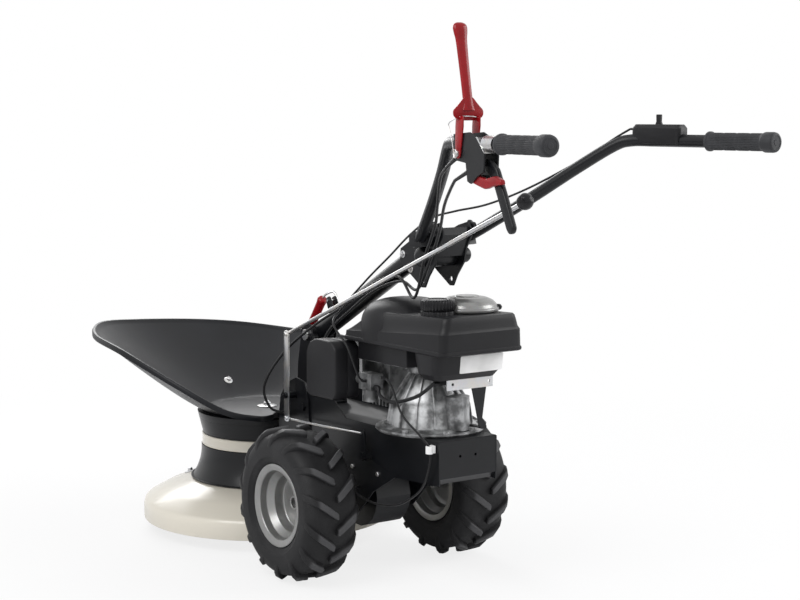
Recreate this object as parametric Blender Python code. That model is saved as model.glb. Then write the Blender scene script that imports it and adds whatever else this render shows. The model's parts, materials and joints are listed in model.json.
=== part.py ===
"""Walk-behind rotary drum mower, modelled in metres, +Z up, +Y the way it travels.

The origin lies on the ground under the drum's axis. The machine stands on the
free-spinning skid dish under the drum and on its two lugged wheels. Every piece is
one object, and a piece that moves has its origin on its joint's axis.
"""
import math

import bmesh
import bpy
from mathutils import Matrix, Vector

# Clearances
SEAT_GAP = 0.0003
RUN_GAP = 0.0003

# Facets round a full turn
WIDE_STEPS = 30
DRUM_STEPS = 24
WHEEL_STEPS = 20
SMALL_STEPS = 14
HOLE_STEPS = 8
BAR_STEPS = 10

# Drum
DISC_RADIUS = 0.297
DISC_RIM_BOTTOM = 0.030
DISC_RIM_TOP = 0.063
DISC_TOP = 0.1235
DISC_SLOPE_DROP = 0.022
DISC_SHEET = 0.003
SKIRT_FOOT_RADIUS = 0.181
SKIRT_HEAD_RADIUS = 0.158
SKIRT_HEIGHT = 0.078
SKIRT_SHEET = 0.003
SKID_RADIUS = 0.205
SKID_FLAT_RADIUS = 0.130
SKID_SHEET = 0.0025
SKID_EDGE_HEIGHT = 0.0175
SHAFT_RADIUS = 0.0125
SHAFT_FOOT = 0.0035
SHAFT_HEAD = 0.270
SHAFT_FLANGE_RADIUS = 0.045
SHAFT_FLANGE_THICKNESS = 0.009

# Blades
BLADE_COUNT = 3
BLADE_PIVOT_RADIUS = DISC_RADIUS - 0.035
BLADE_REST_TURN = 100.0
BLADE_REACH = 0.050
BLADE_TAIL = 0.020
BLADE_WIDTH = 0.040
BLADE_THICKNESS = 0.004
BLADE_POST_RADIUS = 0.014
BLADE_POST_FOOT = 0.0268
BLADE_PIN_RADIUS = 0.006
BLADE_PIN_HEAD_RADIUS = 0.011
BLADE_PIN_HEAD_HEIGHT = 0.0055

# Neck and its bearings
BAND_RADIUS = 0.156
BAND_BOTTOM = 0.2025
BAND_HEIGHT = 0.027
BAND_WALL = 0.003
BEARING_OUTER_RADIUS = 0.026
BEARING_HEIGHT = 0.023
HUB_WALL = 0.008
CONE_HEAD_RADIUS = 0.167
CONE_HEIGHT = 0.0527
CONE_SHEET = 0.003

# Carrier arm between the neck and the chassis
ARM_OUTER_X = 0.0702
ARM_SHEET = 0.004
ARM_REAR_Y = -0.285
ARM_TOP = 0.280

# Guard dish
DISH_SHEET = 0.004
DISH_FLOOR_RADIUS = 0.148
DISH_LIP = 0.009
CENTRE_BOLT_RADIUS = 0.006
WALL_BOLT_RADIUS = 0.004

# Belt drive
BELT_Z = 0.253
DRUM_PULLEY_RADIUS = 0.063
DRUM_GROOVE_RADIUS = 0.055
ENGINE_PULLEY_RADIUS = 0.048
ENGINE_GROOVE_RADIUS = 0.040
PULLEY_HALF_WIDTH = 0.011
BELT_DEPTH = 0.0062

# Wheels
AXLE_Y = -0.46
AXLE_Z = 0.165
HALF_TRACK = 0.200
AXLE_RADIUS = 0.010
TYRE_RADIUS = 0.165
TYRE_HALF_WIDTH = 0.0625
LUG_HEIGHT = 0.013
LUG_COUNT = 14
LUG_WIDTH = 0.016
RIM_FLANGE_RADIUS = 0.0875
RIM_BEAD_RADIUS = 0.0762
RIM_HALF_WIDTH = 0.052
RIM_WELL_RADIUS = 0.063
RIM_SHEET = 0.003
WHEEL_HUB_RADIUS = 0.0155
WHEEL_HUB_REACH = 0.011
RIM_PLATE_SET = -0.003

# Chassis
CHASSIS_X = 0.0735
CHASSIS_SHEET = 0.003
CHASSIS_REAR_Y = -0.795
CHASSIS_FRONT_Y = -0.188
DECK_TOP = 0.3335
CHASSIS_BOTTOM = 0.243
CHEEK_SHEET = 0.004
GEARBOX_HALF_WIDTH = 0.044
GEARBOX_RADIUS = 0.072

# Engine
ENGINE_Y = -0.663
CRANK_RADIUS = 0.011
FLANGE_RADIUS = 0.114
FLANGE_HEIGHT = 0.0135
COWL_BELT_BOTTOM = 0.512
COWL_BELT_TOP = 0.558
COWL_TOP = 0.588
COWL_HALF_X = 0.104
COWL_FRONT_Y = -0.486
COWL_REAR_Y = -0.846
COWL_CORNER = 0.016
COWL_SLOPE_RUN = 0.089
CAP_PLACE = Vector((-0.046, -0.752, COWL_TOP))
CAP_NECK_HEIGHT = 0.007
CAP_NECK_RADIUS = 0.026
DOME_CENTRE = (-0.006, -0.590)
DOME_STEPS = 20
STARTER_CENTRE = (0.036, -0.742)
STARTER_RADIUS = 0.066
STARTER_GRIP_RADIUS = 0.0065
STARTER_GRIP_HALF = 0.021
STARTER_GRIP_PLACE = Vector((0.0785, -0.770, COWL_TOP + SEAT_GAP + STARTER_GRIP_RADIUS))
STARTER_PULL = Vector((0.82, -0.57, 0.0))
CYLINDER_FOOT = 0.372
CYLINDER_TOP = 0.478
CYLINDER_REAR_Y = -0.588
CYLINDER_HALF_WIDTH = 0.050
FIN_COUNT = 9
FIN_PITCH = 0.0125
FIN_THICKNESS = 0.003
FIN_DEPTH = 0.014
TANK_BOTTOM = 0.459
TANK_MIDDLE_X = -0.012
TANK_HALF_X = 0.088
TANK_TAP = (-0.022, -0.762)

# Column and handlebars
COLUMN_RADIUS = 0.021
COLUMN_WALL = 0.0025
COLUMN_PIVOT = Vector((0.0, -0.235, 0.488))
COLUMN_TOP = Vector((0.0, -0.650, 0.7114))
HEAD_PIVOT = Vector((0.0, -0.694, 0.698))
COLUMN_EYE_RADIUS = 0.0215
LOCK_ALONG = 0.085
LOCK_LIFT = 0.030
SLEEVE_TOP = Vector((0.0, -0.252, 0.571))
SLEEVE_FOOT = Vector((0.0, -0.188, 0.487))
BAR_RADIUS = 0.012
BAR_LINE_START = Vector((0.2335, -1.075, 0.937))
BAR_END = Vector((0.2655, -1.352, 0.937))
GRIP_LENGTH = 0.146
HEAD_PLATE_INNER = 0.034
HEAD_PLATE_SHEET = 0.004
CLAMP_WIDTH = 0.034
KNOB_PLACE = (-0.738, 0.757)
GRIP_RADIUS = 0.0155
DEADMAN_PIVOT = (-0.017, -0.018)
CLUTCH_PIVOT = (-0.085, -0.035)
LATCH_PIVOT = (-0.054, -0.058)
THROTTLE_PIVOT = (-0.012, 0.024)
CABLE_RADIUS = 0.0030
THIN_CABLE_RADIUS = 0.0022
HOSE_RADIUS = 0.0038

# Shift linkage
STRAP_X = -0.100
STRAP_Y = -0.255
STRAP_PIVOT_Z = 0.358
STRAP_TOP = 0.505
STRAP_BOTTOM = 0.298
STRAP_WIDTH = 0.013
STRAP_SHEET = 0.003
LINK_RADIUS = 0.0024
LINK_X = STRAP_X + STRAP_SHEET / 2.0 + LINK_RADIUS + RUN_GAP
GEAR_LEVER_SHEET = 0.004
GEAR_LEVER_X = LINK_X + LINK_RADIUS + RUN_GAP + GEAR_LEVER_SHEET / 2.0
GEAR_LEVER_PIVOT = Vector((GEAR_LEVER_X, -0.548, 0.268))
SHIFT_ROD_RADIUS = 0.0045
SHIFT_ROD_X = STRAP_X + STRAP_SHEET / 2.0 + SHIFT_ROD_RADIUS + RUN_GAP
SHIFT_ROD_FOOT = Vector((SHIFT_ROD_X, -0.256, 0.4985))
SHIFT_ROD_HEAD = Vector((SHIFT_ROD_X, -1.0684, 0.8225))


def clear_scene():
    """Remove whatever the open file holds."""
    for obj in list(bpy.data.objects):
        bpy.data.objects.remove(obj, do_unlink=True)


def material(name, colour, roughness, metallic=0.0):
    """Return a Principled material, made once for each name."""
    found = bpy.data.materials.get(name)
    if found:
        return found
    made = bpy.data.materials.new(name)
    made.use_nodes = True
    shader = made.node_tree.nodes["Principled BSDF"]
    shader.inputs["Base Color"].default_value = (*colour, 1.0)
    shader.inputs["Roughness"].default_value = roughness
    shader.inputs["Metallic"].default_value = metallic
    made.diffuse_color = (*colour, 1.0)
    return made


def black_paint():
    return material("black_paint", (0.020, 0.022, 0.025), 0.38)


def dark_plastic():
    return material("dark_plastic", (0.028, 0.031, 0.036), 0.45)


def cream_paint():
    return material("cream_paint", (0.83, 0.77, 0.66), 0.30)


def zinc():
    return material("zinc", (0.78, 0.79, 0.80), 0.30, 1.0)


def cast_aluminium():
    return material("cast_aluminium", (0.72, 0.73, 0.74), 0.42, 1.0)


def rim_silver():
    return material("rim_silver", (0.46, 0.46, 0.45), 0.36, 0.6)


def tyre_rubber():
    return material("tyre_rubber", (0.030, 0.031, 0.033), 0.70)


def grip_rubber():
    return material("grip_rubber", (0.060, 0.062, 0.066), 0.62)


def red_paint():
    return material("red_paint", (0.50, 0.020, 0.030), 0.28)


def red_plastic():
    return material("red_plastic", (0.62, 0.035, 0.050), 0.40)


def steel():
    return material("steel", (0.56, 0.57, 0.58), 0.32, 1.0)


def cable_black():
    return material("cable_black", (0.015, 0.015, 0.017), 0.50)


def finish(name, bm, surface, pivot=(0.0, 0.0, 0.0), smooth_angle=35.0):
    """Name a mesh drawn in world coordinates and put its origin at the pivot."""
    bmesh.ops.recalc_face_normals(bm, faces=bm.faces)
    bmesh.ops.translate(bm, verts=bm.verts, vec=-Vector(pivot))
    mesh = bpy.data.meshes.new(name)
    bm.to_mesh(mesh)
    bm.free()
    mesh.materials.append(surface)
    mesh.shade_smooth()
    mesh.set_sharp_from_angle(angle=math.radians(smooth_angle))
    obj = bpy.data.objects.new(name, mesh)
    obj.location = pivot
    bpy.context.collection.objects.link(obj)
    return obj


def helper(name, bm):
    """Make a hidden shape that only adds to or cuts another one."""
    obj = finish(name, bm, black_paint())
    obj.hide_render = True
    obj.display_type = "WIRE"
    return obj


def boolean(target, other, operation):
    """Add or cut the hidden shape with an exact Boolean."""
    step = target.modifiers.new(operation.lower(), "BOOLEAN")
    step.operation = operation
    step.object = other


def ring(radius, height, steps, frame, start=0.0):
    """Return the points of a circle round the frame's Z axis."""
    points = []
    for step in range(steps):
        angle = start + 2.0 * math.pi * step / steps
        local = Vector((radius * math.cos(angle), radius * math.sin(angle), height))
        points.append(frame @ local)
    return points


def skin(bm, rings, closed):
    """Join rings of points into a closed surface; an open row of rings gets caps."""
    rows = []
    for points in rings:
        rows.append([bm.verts.new(point) for point in points])
    pairs = list(zip(rows, rows[1:]))
    if closed:
        pairs.append((rows[-1], rows[0]))
    for low, high in pairs:
        count = max(len(low), len(high))
        for step in range(count):
            corners = []
            for row, index in ((low, step), (low, step + 1), (high, step + 1), (high, step)):
                vert = row[index % len(row)]
                if vert not in corners:
                    corners.append(vert)
            bm.faces.new(corners)
    if not closed:
        for row in (rows[0], rows[-1]):
            if len(row) > 2:
                bm.faces.new(row)


def turned(bm, profile, steps, frame=Matrix(), start=0.0):
    """Turn (radius, height) pairs about the frame's Z axis into a closed solid."""
    rings = []
    for radius, height in profile:
        count = 1 if radius < 1e-6 else steps
        rings.append(ring(radius, height, count, frame, start))
    touches_axis = min(radius for radius, height in profile) < 1e-6
    skin(bm, rings, closed=not touches_axis)


def cylinder(bm, radius, start, end, steps):
    """Add a solid cylinder between two points."""
    along = Vector(end) - Vector(start)
    frame = Matrix.Translation(Vector(start)) @ along.to_track_quat("Z", "Y").to_matrix().to_4x4()
    turned(bm, [(0.0, 0.0), (radius, 0.0), (radius, along.length), (0.0, along.length)], steps, frame)


def tube(bm, outer, inner, start, end, steps):
    """Add an open tube between two points."""
    along = Vector(end) - Vector(start)
    frame = Matrix.Translation(Vector(start)) @ along.to_track_quat("Z", "Y").to_matrix().to_4x4()
    length = along.length
    bore = around(inner, steps)
    turned(bm, [(outer, 0.0), (outer, length), (bore, length), (bore, 0.0)], steps, frame)


def box(bm, low, high):
    """Add a box between two opposite corners."""
    size = Vector(high) - Vector(low)
    centre = (Vector(high) + Vector(low)) / 2.0
    matrix = Matrix.Translation(centre) @ Matrix.Diagonal((*size, 1.0))
    bmesh.ops.create_cube(bm, size=1.0, matrix=matrix)


def around(radius, steps):
    """Corner radius of a polygon whose flats lie at the radius, for a hole round a shaft."""
    return radius / math.cos(math.pi / steps)


def circle_2d(centre, radius, steps):
    """Return the points of a flat circle."""
    points = []
    for step in range(steps):
        angle = 2.0 * math.pi * step / steps
        points.append((centre[0] + radius * math.cos(angle), centre[1] + radius * math.sin(angle)))
    return points


def arc_2d(centre, radius, first, last, steps):
    """Return points of an arc, angles in degrees, both ends included."""
    points = []
    for step in range(steps + 1):
        angle = math.radians(first + (last - first) * step / steps)
        points.append((centre[0] + radius * math.cos(angle), centre[1] + radius * math.sin(angle)))
    return points


def plate(bm, outline, frame, thickness, holes=()):
    """Extrude a flat outline with round holes along the frame's Z axis."""
    loops = [outline]
    for centre, radius in holes:
        loops.append(circle_2d(centre, around(radius, HOLE_STEPS), HOLE_STEPS))
    sheet = bmesh.new()
    edges = []
    for loop in loops:
        verts = [sheet.verts.new((x, y, 0.0)) for x, y in loop]
        for first, second in zip(verts, verts[1:] + verts[:1]):
            edges.append(sheet.edges.new((first, second)))
    bmesh.ops.triangle_fill(sheet, use_beauty=True, use_dissolve=False, edges=edges)
    grown = bmesh.ops.extrude_face_region(sheet, geom=sheet.faces[:])
    lifted = [item for item in grown["geom"] if isinstance(item, bmesh.types.BMVert)]
    bmesh.ops.translate(sheet, verts=lifted, vec=(0.0, 0.0, thickness))
    bmesh.ops.recalc_face_normals(sheet, faces=sheet.faces)
    bmesh.ops.transform(sheet, matrix=frame, verts=sheet.verts)
    scratch = bpy.data.meshes.new("sheet")
    sheet.to_mesh(scratch)
    sheet.free()
    bm.from_mesh(scratch)
    bpy.data.meshes.remove(scratch)


def frame_yz(x):
    """Frame whose flat outline is (y, z) and which extrudes along +X from x."""
    return Matrix(((0, 0, 1, x), (1, 0, 0, 0), (0, 1, 0, 0), (0, 0, 0, 1)))


def frame_xz(y):
    """Frame whose flat outline is (x, z) and which extrudes along -Y from y."""
    return Matrix(((1, 0, 0, 0), (0, 0, -1, y), (0, 1, 0, 0), (0, 0, 0, 1)))


def frame_xy(z):
    """Frame whose flat outline is (x, y) and which extrudes along +Z from z."""
    return Matrix.Translation((0.0, 0.0, z))


def along_x(centre):
    """Frame whose Z axis points along +X at the centre."""
    return Matrix.Translation(Vector(centre)) @ Matrix.Rotation(math.pi / 2.0, 4, "Y")


def smooth_path(points, steps, closed=False):
    """Return a Catmull-Rom path through the points with the steps in each span."""
    points = [Vector(point) for point in points]
    count = len(points)
    path = []
    for span in range(count if closed else count - 1):
        if closed:
            four = [points[(span + shift) % count] for shift in (-1, 0, 1, 2)]
        else:
            four = [points[min(max(span + shift, 0), count - 1)] for shift in (-1, 0, 1, 2)]
        for step in range(steps):
            path.append(catmull_rom(four, step / steps))
    if not closed:
        path.append(points[-1])
    return path


def catmull_rom(four, t):
    """Blend four neighbouring points at the fraction t between the middle two."""
    before, first, second, after = four
    linear = (second - before) * t
    square = (2.0 * before - 5.0 * first + 4.0 * second - after) * t ** 2
    cube = (3.0 * first - before - 3.0 * second + after) * t ** 3
    return (2.0 * first + linear + square + cube) / 2.0


def swept(bm, path, radius, steps):
    """Carry a circle along a path with flat ends, without twist."""
    path = [Vector(point) for point in path]
    tangents = []
    for index in range(len(path)):
        ahead = path[min(index + 1, len(path) - 1)]
        behind = path[max(index - 1, 0)]
        tangents.append((ahead - behind).normalized())
    side = tangents[0].orthogonal().normalized()
    rings = []
    for place, tangent in zip(path, tangents):
        side = (side - tangent * side.dot(tangent)).normalized()
        other = tangent.cross(side)
        points = []
        for step in range(steps):
            angle = 2.0 * math.pi * step / steps
            points.append(place + (side * math.cos(angle) + other * math.sin(angle)) * radius)
        rings.append(points)
    skin(bm, rings, closed=False)


def rod(name, path, radius, surface, pivot=(0.0, 0.0, 0.0), resolution=2):
    """Make a round rod, bar or cable along a path as a bevelled poly curve."""
    pivot = Vector(pivot)
    curve = bpy.data.curves.new(name, "CURVE")
    curve.dimensions = "3D"
    curve.bevel_depth = radius
    curve.bevel_resolution = resolution
    curve.use_fill_caps = True
    spline = curve.splines.new("POLY")
    spline.points.add(len(path) - 1)
    for point, place in zip(spline.points, path):
        point.co = (*(Vector(place) - pivot), 1.0)
    curve.materials.append(surface)
    obj = bpy.data.objects.new(name, curve)
    obj.location = pivot
    bpy.context.collection.objects.link(obj)
    return obj


# Drum

def skid_dish():
    """Shallow free-spinning dish that carries the drum on the ground."""
    bm = bmesh.new()
    bore = SHAFT_RADIUS + RUN_GAP
    hub = bore + 0.012
    hub_top = SKID_EDGE_HEIGHT + 0.005
    profile = [
        (0.0, 0.0),
        (SKID_FLAT_RADIUS, 0.0),
        (SKID_FLAT_RADIUS + 0.040, 0.004),
        (SKID_RADIUS - 0.008, 0.011),
        (SKID_RADIUS, SKID_EDGE_HEIGHT),
        (SKID_RADIUS - 0.002, SKID_EDGE_HEIGHT + 0.0015),
        (SKID_RADIUS - 0.010, 0.011 + SKID_SHEET),
        (SKID_FLAT_RADIUS + 0.039, 0.004 + SKID_SHEET),
        (SKID_FLAT_RADIUS, SKID_SHEET),
        (hub + 0.004, SKID_SHEET),
        (hub, hub_top),
        (bore, hub_top),
        (bore, SKID_SHEET),
        (0.0, SKID_SHEET),
    ]
    turned(bm, profile, WHEEL_STEPS)
    return finish("skid_dish", bm, steel())


def cutting_disc():
    """Inverted pan that carries the swinging blades under its shoulder."""
    bm = bmesh.new()
    sheet = DISC_SHEET
    bore = SHAFT_RADIUS + SEAT_GAP
    outer = [
        (DISC_RADIUS, DISC_RIM_BOTTOM),
        (DISC_RADIUS, DISC_RIM_TOP),
        (DISC_RADIUS - 0.005, DISC_RIM_TOP + 0.011),
        (DISC_RADIUS - 0.018, DISC_RIM_TOP + 0.019),
        (DISC_RADIUS - 0.055, DISC_TOP - DISC_SLOPE_DROP),
        (SKIRT_FOOT_RADIUS - 0.005, DISC_TOP),
        (bore, DISC_TOP),
    ]
    inner = [
        (bore, DISC_TOP - sheet),
        (SKIRT_FOOT_RADIUS - 0.006, DISC_TOP - sheet),
        (DISC_RADIUS - 0.056, DISC_TOP - DISC_SLOPE_DROP - sheet),
        (DISC_RADIUS - 0.020, DISC_RIM_TOP + 0.019 - sheet),
        (DISC_RADIUS - sheet, DISC_RIM_TOP - 0.001),
        (DISC_RADIUS - sheet, DISC_RIM_BOTTOM),
    ]
    turned(bm, outer + inner, WIDE_STEPS)
    disc = finish("cutting_disc", bm, cream_paint())
    boolean(disc, helper("blade_post_shapes", blade_posts()), "UNION")
    boolean(disc, helper("skirt_tab_shapes", skirt_tabs()), "UNION")
    return disc


def blade_places():
    """Return the blade pivots on the ground plane, evenly round the drum."""
    places = []
    for index in range(BLADE_COUNT):
        angle = math.radians(30.0) + 2.0 * math.pi * index / BLADE_COUNT
        places.append(BLADE_PIVOT_RADIUS * Vector((math.cos(angle), math.sin(angle), 0.0)))
    return places


def blade(index, place):
    """Flat blade at rest under the disc, with bevelled corners and a pivot hole."""
    bm = bmesh.new()
    half = BLADE_WIDTH / 2.0
    corner = 0.008
    outline = [
        (-BLADE_TAIL, -half + corner),
        (-BLADE_TAIL + corner, -half),
        (BLADE_REACH - corner, -half),
        (BLADE_REACH, -half + corner),
        (BLADE_REACH, half - corner),
        (BLADE_REACH - corner, half),
        (-BLADE_TAIL + corner, half),
        (-BLADE_TAIL, half - corner),
    ]
    foot = BLADE_POST_FOOT - SEAT_GAP - BLADE_THICKNESS
    rest = math.atan2(place.y, place.x) + math.radians(BLADE_REST_TURN)
    turn = Matrix.Rotation(rest, 4, "Z")
    frame = Matrix.Translation(place + Vector((0.0, 0.0, foot))) @ turn
    plate(bm, outline, frame, BLADE_THICKNESS, [((0.0, 0.0), BLADE_PIN_RADIUS + RUN_GAP)])
    return finish(f"blade_{index + 1}", bm, steel(), pivot=place + Vector((0.0, 0.0, foot)))


def shoulder_height(radius):
    """Height of the middle of the disc's sloping shoulder sheet at a radius."""
    outer = DISC_RADIUS - 0.019
    inner = DISC_RADIUS - 0.055
    low = DISC_RIM_TOP + 0.019
    high = DISC_TOP - DISC_SLOPE_DROP
    share = (outer - radius) / (outer - inner)
    return low + (high - low) * share - DISC_SHEET / 2.0


def blade_posts():
    """Posts under the disc's shoulder with the headed pins the blades swing on."""
    bm = bmesh.new()
    top = DISC_RIM_TOP + 0.019
    head_top = BLADE_POST_FOOT - 2.0 * RUN_GAP - BLADE_THICKNESS
    head_foot = head_top - BLADE_PIN_HEAD_HEIGHT
    profile = [
        (0.0, head_foot),
        (BLADE_PIN_HEAD_RADIUS - 0.002, head_foot),
        (BLADE_PIN_HEAD_RADIUS, head_foot + 0.002),
        (BLADE_PIN_HEAD_RADIUS, head_top),
        (BLADE_PIN_RADIUS, head_top),
        (BLADE_PIN_RADIUS, BLADE_POST_FOOT),
        (BLADE_POST_RADIUS, BLADE_POST_FOOT),
        (BLADE_POST_RADIUS, top),
        (0.0, top),
    ]
    for place in blade_places():
        turned(bm, profile, HOLE_STEPS, Matrix.Translation(place))
    for vert in bm.verts:
        if vert.co.z > BLADE_POST_FOOT + 0.001:
            vert.co.z = shoulder_height(math.hypot(vert.co.x, vert.co.y))
    return bm


def drum_skirt():
    """Flared cone that lifts the cut grass off the disc and turns with it."""
    bm = bmesh.new()
    foot = DISC_TOP + SEAT_GAP
    head = foot + SKIRT_HEIGHT
    flare = SKIRT_FOOT_RADIUS - SKIRT_HEAD_RADIUS
    sheet = SKIRT_SHEET
    bore = SHAFT_RADIUS + SEAT_GAP
    profile = [
        (SKIRT_FOOT_RADIUS, foot),
        (SKIRT_HEAD_RADIUS + 0.55 * flare, foot + 0.20 * SKIRT_HEIGHT),
        (SKIRT_HEAD_RADIUS + 0.20 * flare, foot + 0.52 * SKIRT_HEIGHT),
        (SKIRT_HEAD_RADIUS, head),
        (bore, head),
        (bore, head - sheet),
        (SKIRT_HEAD_RADIUS - sheet, head - sheet),
        (SKIRT_HEAD_RADIUS + 0.20 * flare - sheet, foot + 0.52 * SKIRT_HEIGHT),
        (SKIRT_HEAD_RADIUS + 0.55 * flare - sheet, foot + 0.20 * SKIRT_HEIGHT),
        (SKIRT_FOOT_RADIUS - sheet - 0.001, foot),
    ]
    turned(bm, profile, DRUM_STEPS)
    return finish("drum_skirt", bm, dark_plastic())


def skirt_tabs():
    """Welded tabs with bolt heads on the disc's slope, round the skirt's foot."""
    bm = bmesh.new()
    run = DISC_RADIUS - 0.055 - SKIRT_FOOT_RADIUS + 0.005
    slope = DISC_SLOPE_DROP / run
    reach = 0.199
    lift = DISC_TOP - slope * (reach - SKIRT_FOOT_RADIUS + 0.005)
    for index in range(3):
        spin = Matrix.Rotation(math.radians(250.0 + 120.0 * index), 4, "Z")
        tilt = Matrix.Rotation(math.atan(slope), 4, "Y")
        frame = spin @ Matrix.Translation((reach, 0.0, lift)) @ tilt
        profile = [(-0.011, -0.001), (0.014, -0.001), (0.014, 0.0035), (0.0055, 0.0035)]
        profile += [(0.0055, 0.0085), (-0.0055, 0.0085), (-0.0055, 0.0035), (-0.011, 0.0035)]
        rows = Matrix(((1, 0, 0, 0), (0, 0, -1, 0.007), (0, 1, 0, 0), (0, 0, 0, 1)))
        plate(bm, profile, frame @ rows, 0.014)
    return bm


def drum_shaft():
    """Vertical shaft with the flange that the disc rests on."""
    bm = bmesh.new()
    flange_top = DISC_TOP - DISC_SHEET - SEAT_GAP
    flange_foot = flange_top - SHAFT_FLANGE_THICKNESS
    profile = [
        (0.0, SHAFT_FOOT),
        (SHAFT_RADIUS, SHAFT_FOOT),
        (SHAFT_RADIUS, flange_foot),
        (SHAFT_FLANGE_RADIUS, flange_foot),
        (SHAFT_FLANGE_RADIUS, flange_top),
        (SHAFT_RADIUS, flange_top),
        (SHAFT_RADIUS, SHAFT_HEAD),
        (0.0, SHAFT_HEAD),
    ]
    turned(bm, profile, SMALL_STEPS)
    shaft = finish("drum_shaft", bm, steel())
    wheel = bmesh.new()
    add_pulley(wheel, 0.0, DRUM_PULLEY_RADIUS, DRUM_GROOVE_RADIUS, DRUM_STEPS)
    boolean(shaft, helper("drum_pulley_shape", wheel), "UNION")
    return shaft


# Neck and guard

def neck_band():
    """Cream ring with its web, bearing hub and the carrier arm to the chassis."""
    bm = bmesh.new()
    top = BAND_BOTTOM + BAND_HEIGHT
    inside = BAND_RADIUS - BAND_WALL
    hub_bore = BEARING_OUTER_RADIUS + SEAT_GAP
    hub = hub_bore + HUB_WALL
    web = BAND_BOTTOM + BAND_HEIGHT / 2.0
    hub_foot = BAND_BOTTOM + 0.001
    hub_top = top - 0.001
    profile = [
        (BAND_RADIUS, BAND_BOTTOM),
        (BAND_RADIUS, top),
        (inside, top),
        (inside, web + BAND_WALL / 2.0),
        (hub, web + BAND_WALL / 2.0),
        (hub, hub_top),
        (hub_bore, hub_top),
        (hub_bore, hub_foot),
        (hub, hub_foot),
        (hub, web - BAND_WALL / 2.0),
        (inside, web - BAND_WALL / 2.0),
        (inside, BAND_BOTTOM),
    ]
    turned(bm, profile, DRUM_STEPS)
    band = finish("neck_band", bm, cream_paint())
    arms = bmesh.new()
    outline = [
        (-0.130, BAND_BOTTOM + 0.002),
        (-0.130, top - 0.001),
        (-0.158, top - 0.001),
        (-0.174, ARM_TOP),
        (ARM_REAR_Y, ARM_TOP),
        (ARM_REAR_Y, CHASSIS_BOTTOM + 0.002),
        (-0.200, BAND_BOTTOM + 0.002),
    ]
    for x in (-ARM_OUTER_X, ARM_OUTER_X - ARM_SHEET):
        plate(arms, outline, frame_yz(x), ARM_SHEET)
    boolean(band, helper("arm_shapes", arms), "UNION")
    return band


def neck_bearing():
    """Double-row bearing ring between the neck's hub and the shaft."""
    bm = bmesh.new()
    bore = around(SHAFT_RADIUS + RUN_GAP, SMALL_STEPS)
    foot = BAND_BOTTOM + 0.002
    top = foot + BEARING_HEIGHT
    profile = [
        (BEARING_OUTER_RADIUS, foot),
        (BEARING_OUTER_RADIUS, top),
        (bore, top),
        (bore, foot),
    ]
    turned(bm, profile, SMALL_STEPS)
    return finish("neck_bearing", bm, steel())


def neck_cone():
    """Fixed upper cone that carries the guard dish, open at the back for the belt."""
    bm = bmesh.new()
    foot = BAND_BOTTOM + BAND_HEIGHT + SEAT_GAP
    head = foot + CONE_HEIGHT
    foot_radius = BAND_RADIUS - 0.002
    sheet = CONE_SHEET
    bore = CENTRE_BOLT_RADIUS + SEAT_GAP
    profile = [
        (foot_radius, foot),
        (CONE_HEAD_RADIUS, head),
        (bore, head),
        (bore, head - sheet),
        (CONE_HEAD_RADIUS - sheet, head - sheet),
        (foot_radius - sheet, foot),
    ]
    turned(bm, profile, DRUM_STEPS)
    cone = finish("neck_cone", bm, dark_plastic())
    slot = bmesh.new()
    half = DRUM_PULLEY_RADIUS + 0.003
    box(slot, (-half, -0.30, BELT_Z - 0.014), (half, -0.10, BELT_Z + 0.014))
    boolean(cone, helper("belt_slot_shape", slot), "DIFFERENCE")
    return cone


def dish_rim():
    """Rim of the guard dish, from the rear notch round the left, front and right."""
    points = [
        (0.000, -0.160, 0.300),
        (-0.070, -0.160, 0.301),
        (-0.110, -0.205, 0.305),
        (-0.175, -0.252, 0.316),
        (-0.250, -0.235, 0.337),
        (-0.330, -0.165, 0.395),
        (-0.385, -0.020, 0.455),
        (-0.370, 0.150, 0.472),
        (-0.292, 0.285, 0.480),
        (-0.165, 0.360, 0.470),
        (0.000, 0.382, 0.457),
        (0.130, 0.352, 0.444),
        (0.245, 0.262, 0.426),
        (0.308, 0.120, 0.417),
        (0.312, -0.030, 0.402),
        (0.272, -0.150, 0.365),
        (0.196, -0.222, 0.326),
        (0.115, -0.205, 0.306),
        (0.070, -0.160, 0.301),
    ]
    return smooth_path(points, 2, closed=True)


def dish_rings():
    """Return the dish's rings: floor, wall and rolled lip inside, then outside."""
    rim = dish_rim()
    floor_z = dish_floor()
    inside = {share: [] for share in (0.0, 0.10, 0.50, 1.0)}
    outside = {share: [] for share in (0.0, 0.10, 0.50, 1.0)}
    lip_top = []
    lip_foot = []
    for point in rim:
        flat = Vector((point.x, point.y, 0.0))
        outward = flat.normalized()
        floor_radius = min(DISH_FLOOR_RADIUS, flat.length - 0.008)
        for share in inside:
            radius = floor_radius + (flat.length - floor_radius) * share
            height = floor_z + (point.z - floor_z) * share ** 1.15
            inside[share].append(outward * radius + Vector((0.0, 0.0, height)))
            drop = Vector((0.0, 0.0, -DISH_SHEET)) + outward * DISH_SHEET * 0.4 * min(1.0, share * 4.0)
            outside[share].append(inside[share][-1] + drop)
        lip_top.append(point + outward * DISH_LIP + Vector((0.0, 0.0, -0.001)))
        lip_foot.append(point + outward * (DISH_LIP + 0.002) + Vector((0.0, 0.0, -DISH_LIP)))
    hole = CENTRE_BOLT_RADIUS + SEAT_GAP
    count = len(rim)
    centre = []
    for step in range(count):
        angle = math.atan2(rim[step].y, rim[step].x)
        centre.append(Vector((hole * math.cos(angle), hole * math.sin(angle), floor_z)))
    under = [point - Vector((0.0, 0.0, DISH_SHEET)) for point in centre]
    return [centre, *inside.values(), lip_top, lip_foot, *reversed(outside.values()), under]


def dish_floor():
    """Height of the dish's inner floor, one sheet above the neck cone's head."""
    return BAND_BOTTOM + BAND_HEIGHT + CONE_HEIGHT + 2.0 * SEAT_GAP + DISH_SHEET


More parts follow.
